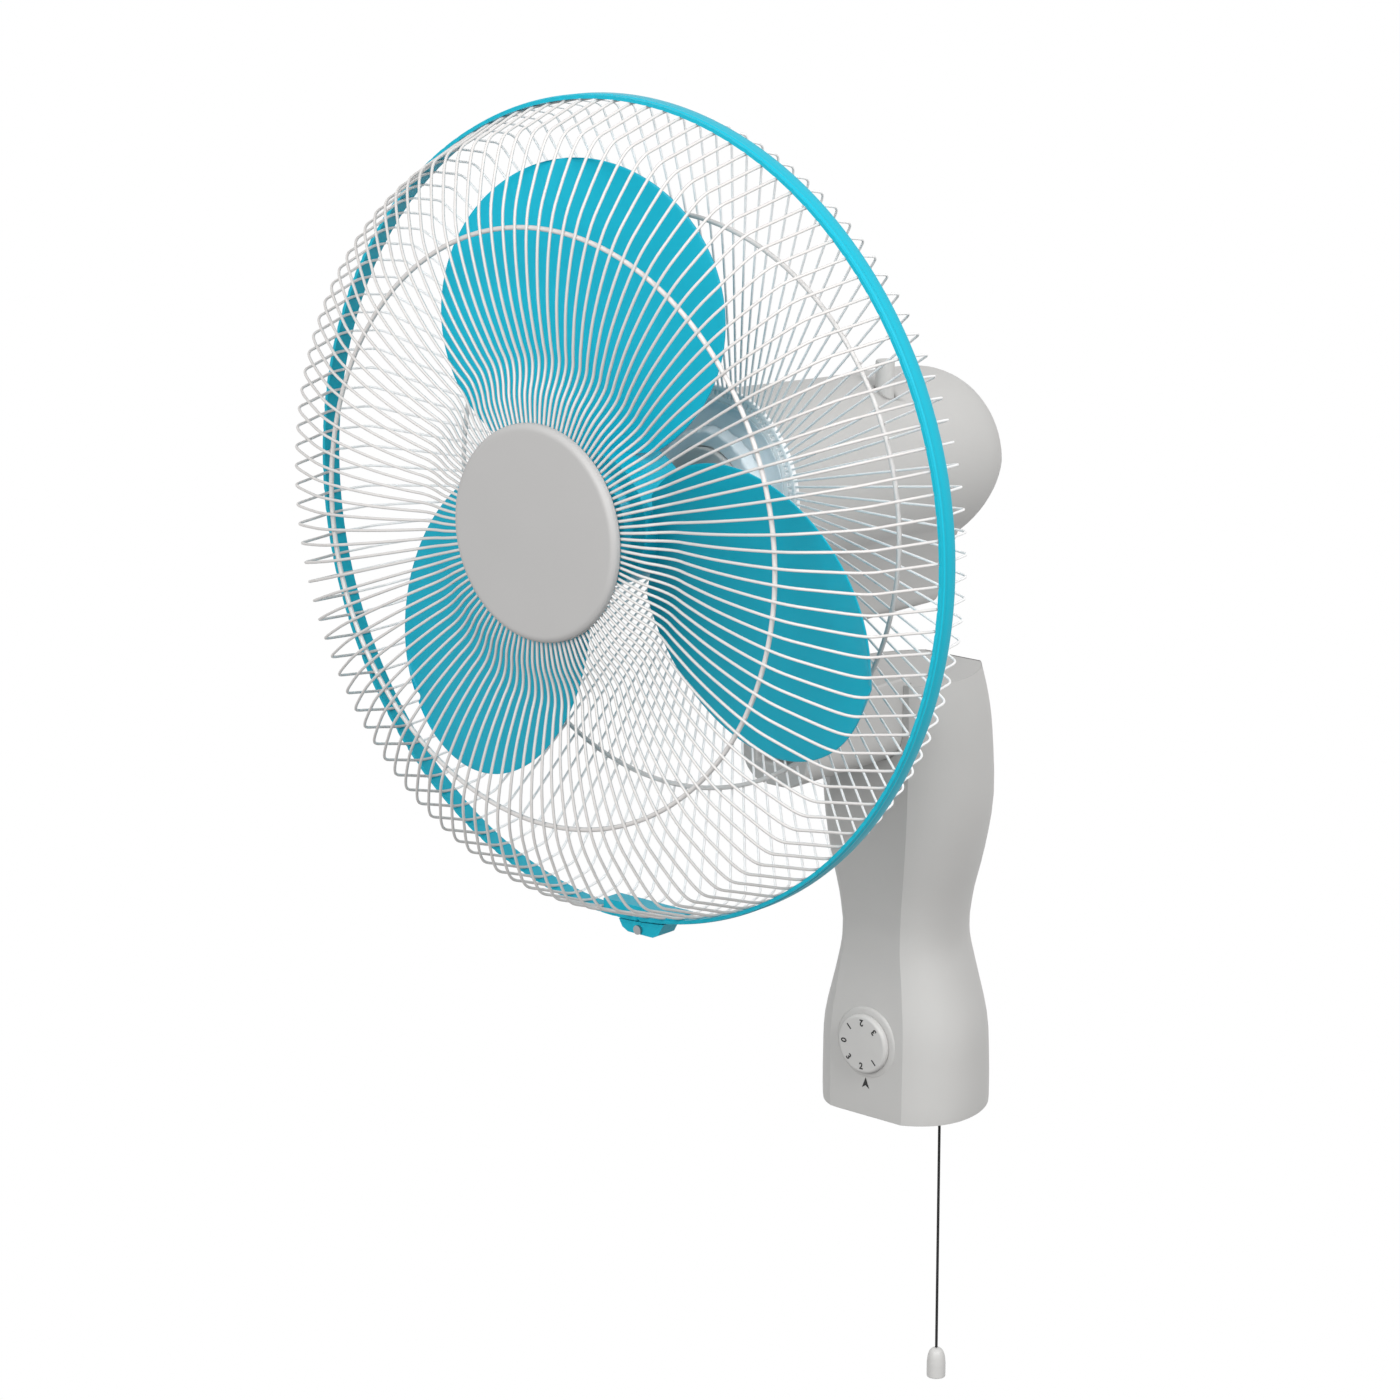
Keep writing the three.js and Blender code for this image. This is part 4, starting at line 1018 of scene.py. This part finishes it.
def makeHubRing():
    # pressed ring that the rear wires are welded into, one pocket for each wire
    settings = hubRingSettings
    outer = settings["outer"]
    inner = settings["inner"]
    front = settings["front"]
    edge = settings["edge"]
    middle = (outer + inner) / 2
    profile = [(inner, front + edge), (inner + settings["innerFlat"], front)]
    profile += [(middle + side, front) for side in settings["pocketSides"]]
    profile += [(outer - edge, front), (outer, front + edge), (outer, settings["back"]),
                (inner, settings["back"])]
    count = guardSettings["wires"]
    floorStart, floorEnd = settings["pocketFloor"]

    def pocket(turn, radius, along):
        share = (turn * count / (2 * math.pi)) % 1
        deep = share < settings["pocketShare"] and middle + floorStart < radius < middle + floorEnd
        return (radius, along + settings["pocket"]) if deep else (radius, along)

    segments = count * settings["stepsPerWire"]
    ring = turned("rearGuardHub", profile, headAt, "y", segments, closed=True, sharp=30, shape=pocket)
    fit(ring, "head", rearWhitePaintedLight, "white_wire")


dishSettings = {
    "bore": 0.0263,
    "setBack": 0.003,
    "thickness": 0.0015,
    # the raised lip: inset from the rim and place from the dish's face
    "lip": [(0.009, 0), (0.0042, -0.0022), (0.0042, -0.0008), (0.0085, 0.0015)],
    "edge": 0.0015,
    "segments": 120,
}


def makeDish():
    settings = dishSettings
    low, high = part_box("rear_guard_plate")
    radius = (high.x - low.x) / 2
    front = low.y - headAt.y + settings["setBack"]
    lip = [(radius - inset, front + along) for inset, along in settings["lip"]]
    corners = [(settings["bore"], front), *lip, (settings["bore"], front + settings["thickness"])]
    profile = rounded(corners, settings["edge"], True)
    dish = turned("rearGuardPlate", profile, headAt, "y", settings["segments"], closed=True)
    fit(dish, "head", dishPaintAndPaintedLight, "dish_grey", "rear_guard_plate")


lockNutSettings = {
    "bore": 0.0263,
    "draft": 0.002,
    "edge": 0.0015,
    "ribs": 24,
    "ribDepth": 0.0007,
    "ribFrom": 0.030,
    "segments": 192,
}


def makeLockNut():
    settings = lockNutSettings
    low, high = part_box("guard_lock_nut")
    radius = (high.x - low.x) / 2
    depth = high.y - low.y
    back = high.y - headAt.y
    bore = settings["bore"]
    corners = [(bore, back - depth), (radius - settings["draft"], back - depth), (radius, back), (bore, back)]

    def ribbed(turn, around, along):
        dip = settings["ribDepth"] * (0.5 - 0.5 * math.cos(turn * settings["ribs"]))
        return (around - dip, along) if around > settings["ribFrom"] else (around, along)

    profile = rounded(corners, settings["edge"], True)
    nut = turned("guardLockNut", profile, headAt, "y", settings["segments"], closed=True, shape=ribbed)
    fit(nut, "head", dishPaintAndPaintedLight, "dish_grey", "guard_lock_nut")


badgeSettings = {
    "depth": 0.005,
    # the rounded edge: inset from the rim and place behind the face
    "edge": [(0.0032, 0), (0.0018, 0.0004), (0.0004, 0.0016), (0, 0.003)],
    "rim": 0.002,
    "stem": 0.004,
    "softness": 0.0008,
    "segments": 160,
}


def makeBadge():
    settings = badgeSettings
    low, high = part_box("badge_disc")
    radius = (high.x - low.x) / 2
    front = low.y - headAt.y
    back = front + settings["depth"]
    stem = settings["stem"]
    stemBack = high.y - headAt.y
    edge = [(radius - inset, front + along) for inset, along in settings["edge"]]
    corners = [(0, front), *edge, (radius, back), (radius - settings["rim"], back), (stem, back),
               (stem, stemBack), (0, stemBack)]
    profile = rounded(corners, settings["softness"])
    badge = turned("badgeDisc", profile, headAt, "y", settings["segments"], sharp=50)
    fit(badge, "head", badgePlastic, "badge_plastic", "badge_disc")


makeGuards()
makeHubRing()
makeDish()
makeLockNut()
makeBadge()
print("guards made")

ringSettings = {
    "thickness": 0.0025,
    "edge": 0.0006,
    "ribPlace": 0.0028,
    "ribWidth": 0.0011,
    "ribDepth": 0.0005,
    "hair": 0.0001,
    "notch": 0.0005,
    "notchShare": 0.1,
    "stepsPerWire": 6,
    # the slit that the clasp closes
    "gapAt": 0.016,
    "gapHalf": 0.001,
    "gapHeights": (-0.005, 0.010),
    "gapClear": 0.005,
}


def makeClampRing():
    settings = ringSettings
    low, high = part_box("clamp_ring")
    radius = (high.x - low.x) / 2
    half = (high.y - low.y) / 2
    inner = radius - settings["thickness"]
    edge = settings["edge"]
    rib = settings["ribPlace"]
    width = settings["ribWidth"]
    sunk = radius - settings["ribDepth"]
    hair = settings["hair"]
    count = guardSettings["wires"]
    profile = [(inner, -half), (radius - edge, -half), (sunk, -half + edge), (sunk, -rib - width),
               (radius, -rib - width * 0.5), (radius, -rib + width * 0.5), (sunk + hair, -rib + width),
               (radius - hair, 0), (radius - hair, half - edge * 2), (radius - edge, half), (inner, half)]

    def notched(turn, around, along):
        share = (turn * count / (2 * math.pi)) % 1
        near = abs(share - 0.5) < settings["notchShare"]
        cut = near and along < -half + hair
        return (around, along + settings["notch"]) if cut else (around, along)

    segments = count * settings["stepsPerWire"]
    ring = turned("clampRing", profile, headAt, "y", segments, closed=True, sharp=35, shape=notched)
    left = settings["gapAt"] - settings["gapHalf"]
    right = settings["gapAt"] + settings["gapHalf"]
    bottom, top = [headAt.z - radius + height for height in settings["gapHeights"]]
    outline = [(left, bottom), (right, bottom), (right, top), (left, top)]
    gap = bar("gap", outline, "y", low.y - settings["gapClear"], high.y + settings["gapClear"])
    carve(ring, "DIFFERENCE", gap, sharp=35)
    fit(ring, "head", cyanRing, "cyan_plastic", "clamp_ring")


claspSettings = {
    # half width less this, and height above the foot
    "corners": [(0.004, 0.002), (0.008, 0)],
    "ringGap": 0.0003,
    "screwHole": 0.0018,
    "clear": 0.01,
    "edge": 0.0005,
    # the plate inside the ring
    "plateReach": 0.0265,
    "plateOuter": 0.219,
    "plateHeight": 0.0078,
    "plateSteps": 12,
}


def makeClasp():
    settings = claspSettings
    low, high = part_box("clamp_clasp")
    middleX = (low.x + high.x) / 2
    half = (high.x - low.x) / 2
    right = [(half, high.z)] + [(half - inset, low.z + rise) for inset, rise in settings["corners"]]
    outline = [(middleX + x, z) for x, z in right] + [(middleX - x, z) for x, z in reversed(right)]
    clasp = bar("clampClasp", outline, "y", low.y, high.y)
    ringLow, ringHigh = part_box("clamp_ring")
    radius = (ringHigh.x - ringLow.x) / 2 + settings["ringGap"]
    front = low.y - settings["clear"]
    back = high.y + settings["clear"]
    room = bar("room", circle(radius, headAt.x, headAt.z, 360), "y", front, back)
    screw = middleOf("clamp_screw")
    hole = bar("hole", circle(settings["screwHole"], screw.x, screw.z, 24), "y", front, back)
    carve(clasp, "DIFFERENCE", room, hole)
    reach = settings["plateReach"]
    steps = settings["plateSteps"]
    plate = []
    for k in range(steps + 1):
        x = middleX + reach * (2 * k / steps - 1)
        plate.append((x, headAt.z - (settings["plateOuter"] ** 2 - (x - headAt.x) ** 2) ** 0.5))
    top = min(z for x, z in plate) + settings["plateHeight"]
    plate += [(middleX + reach, top), (middleX - reach, top)]
    carve(clasp, "UNION", bar("plate", plate, "y", low.y, high.y))
    soften(clasp, settings["edge"], 2)
    fit(clasp, "head", cyanRing, "cyan_plastic", "clamp_clasp")


makeClampRing()
makeClasp()
print("clamp made")

# the CAD nodes that stay, by their finish
keptNodes = [
    (greyPlastic, ["column_back_cover", "neck_casting", "badge_backing_plate"]),
    (blackPlastic, ["mains_grommet", "speed_switch", "cord_bushing", "pull_switch", "run_capacitor"]),
    (knobPlastic, ["terminal_block", "worm_wheel", "crank_gear"]),
    (steel, ["wall_plate", "back_cover_screw_1", "back_cover_screw_2", "back_cover_screw_3",
             "back_cover_screw_4", "neck_bracket_screw_1", "neck_bracket_screw_2", "tilt_bolt",
             "speed_switch_spindle", "front_bearing", "rear_bearing", "stator_core", "gear_frame",
             "pivot_post", "oscillation_link", "motor_shaft", "rotor_core", "clamp_screw"]),
    (copper, ["stator_winding_front", "stator_winding_rear"]),
    (brass, ["drive_worm", "pivot_bush", "pull_switch_lever"]),
]
for material, names in keptNodes:
    for name in names:
        nodes[name].data.materials.clear()
        nodes[name].data.materials.append(material)
print("CAD nodes painted")

lightSettings = {
    "floorDrop": 3.2,
    "floorSize": 30,
    "floorPaint": (0.42, 0.46),
    "floorCloud": 2.0,
    "worldStrength": 0.56,
    "keyPlace": (2.6, -0.6, 1.9),
    "keySize": 1.2,
    "keyPower": 54.0,
    "fillPlace": (0.7, -2.6, 1.3),
    "fillSize": 1.4,
    "fillPower": 50.0,
    "aim": (0, -0.2, 0.1),
}
plainWhite = (1, 1, 1, 1)


def seenAsWhite(finish, other, whiteKind="ShaderNodeEmission"):
    # plain white to the camera, gloss and glass, and still part of the light for all else
    path = finish.make("ShaderNodeLightPath", {}, {})
    camera, glossy, through = [
        Link(finish, path.outputs[f"Is {ray} Ray"]) for ray in ("Camera", "Glossy", "Transmission")]
    seen = (camera + glossy + through) > 0.5
    white = finish.add(whiteKind, {}, {"Color": plainWhite, "Strength": 1.0})
    return finish.add("ShaderNodeMixShader", {}, {0: seen, 1: other, 2: white})


def makeFloor():
    size = lightSettings["floorSize"]
    points = [(-size, -size, 0), (size, -size, 0), (size, size, 0), (-size, size, 0)]
    floor = finishMesh("floor", points, [(0, 1, 2, 3)])
    floor.location.z = -lightSettings["floorDrop"]
    finish = Finish(bpy.data.materials.new("paleFloor"))
    cloud = finish.noise(lightSettings["floorCloud"])
    dark, light = [(shade, shade, shade, 1) for shade in lightSettings["floorPaint"]]
    paint = finish.add("ShaderNodeBsdfDiffuse", {}, {"Color": finish.blend(cloud, dark, light)})
    floor.data.materials.append(finish.end(seenAsWhite(finish, paint)))


def makeWorld():
    scene.world = bpy.data.worlds.new("studio")
    finish = Finish(scene.world)
    kind = "ShaderNodeBackground"
    sky = finish.add(kind, {}, {"Color": plainWhite, "Strength": lightSettings["worldStrength"]})
    finish.end(seenAsWhite(finish, sky, kind), "ShaderNodeOutputWorld")


def addLamp(lamp):
    # lamp is key or fill
    data = bpy.data.lights.new(f"{lamp}Lamp", "AREA")
    data.size = lightSettings[f"{lamp}Size"]
    data.energy = lightSettings[f"{lamp}Power"]
    place = Vector(lightSettings[f"{lamp}Place"])
    holder = bpy.data.objects.new(f"{lamp}Lamp", data)
    holder.location = place
    holder.rotation_euler = (Vector(lightSettings["aim"]) - place).to_track_quat("-Z", "Y").to_euler()
    scene.collection.objects.link(holder)


makeFloor()
makeWorld()
addLamp("key")
addLamp("fill")
print("floor and light made")
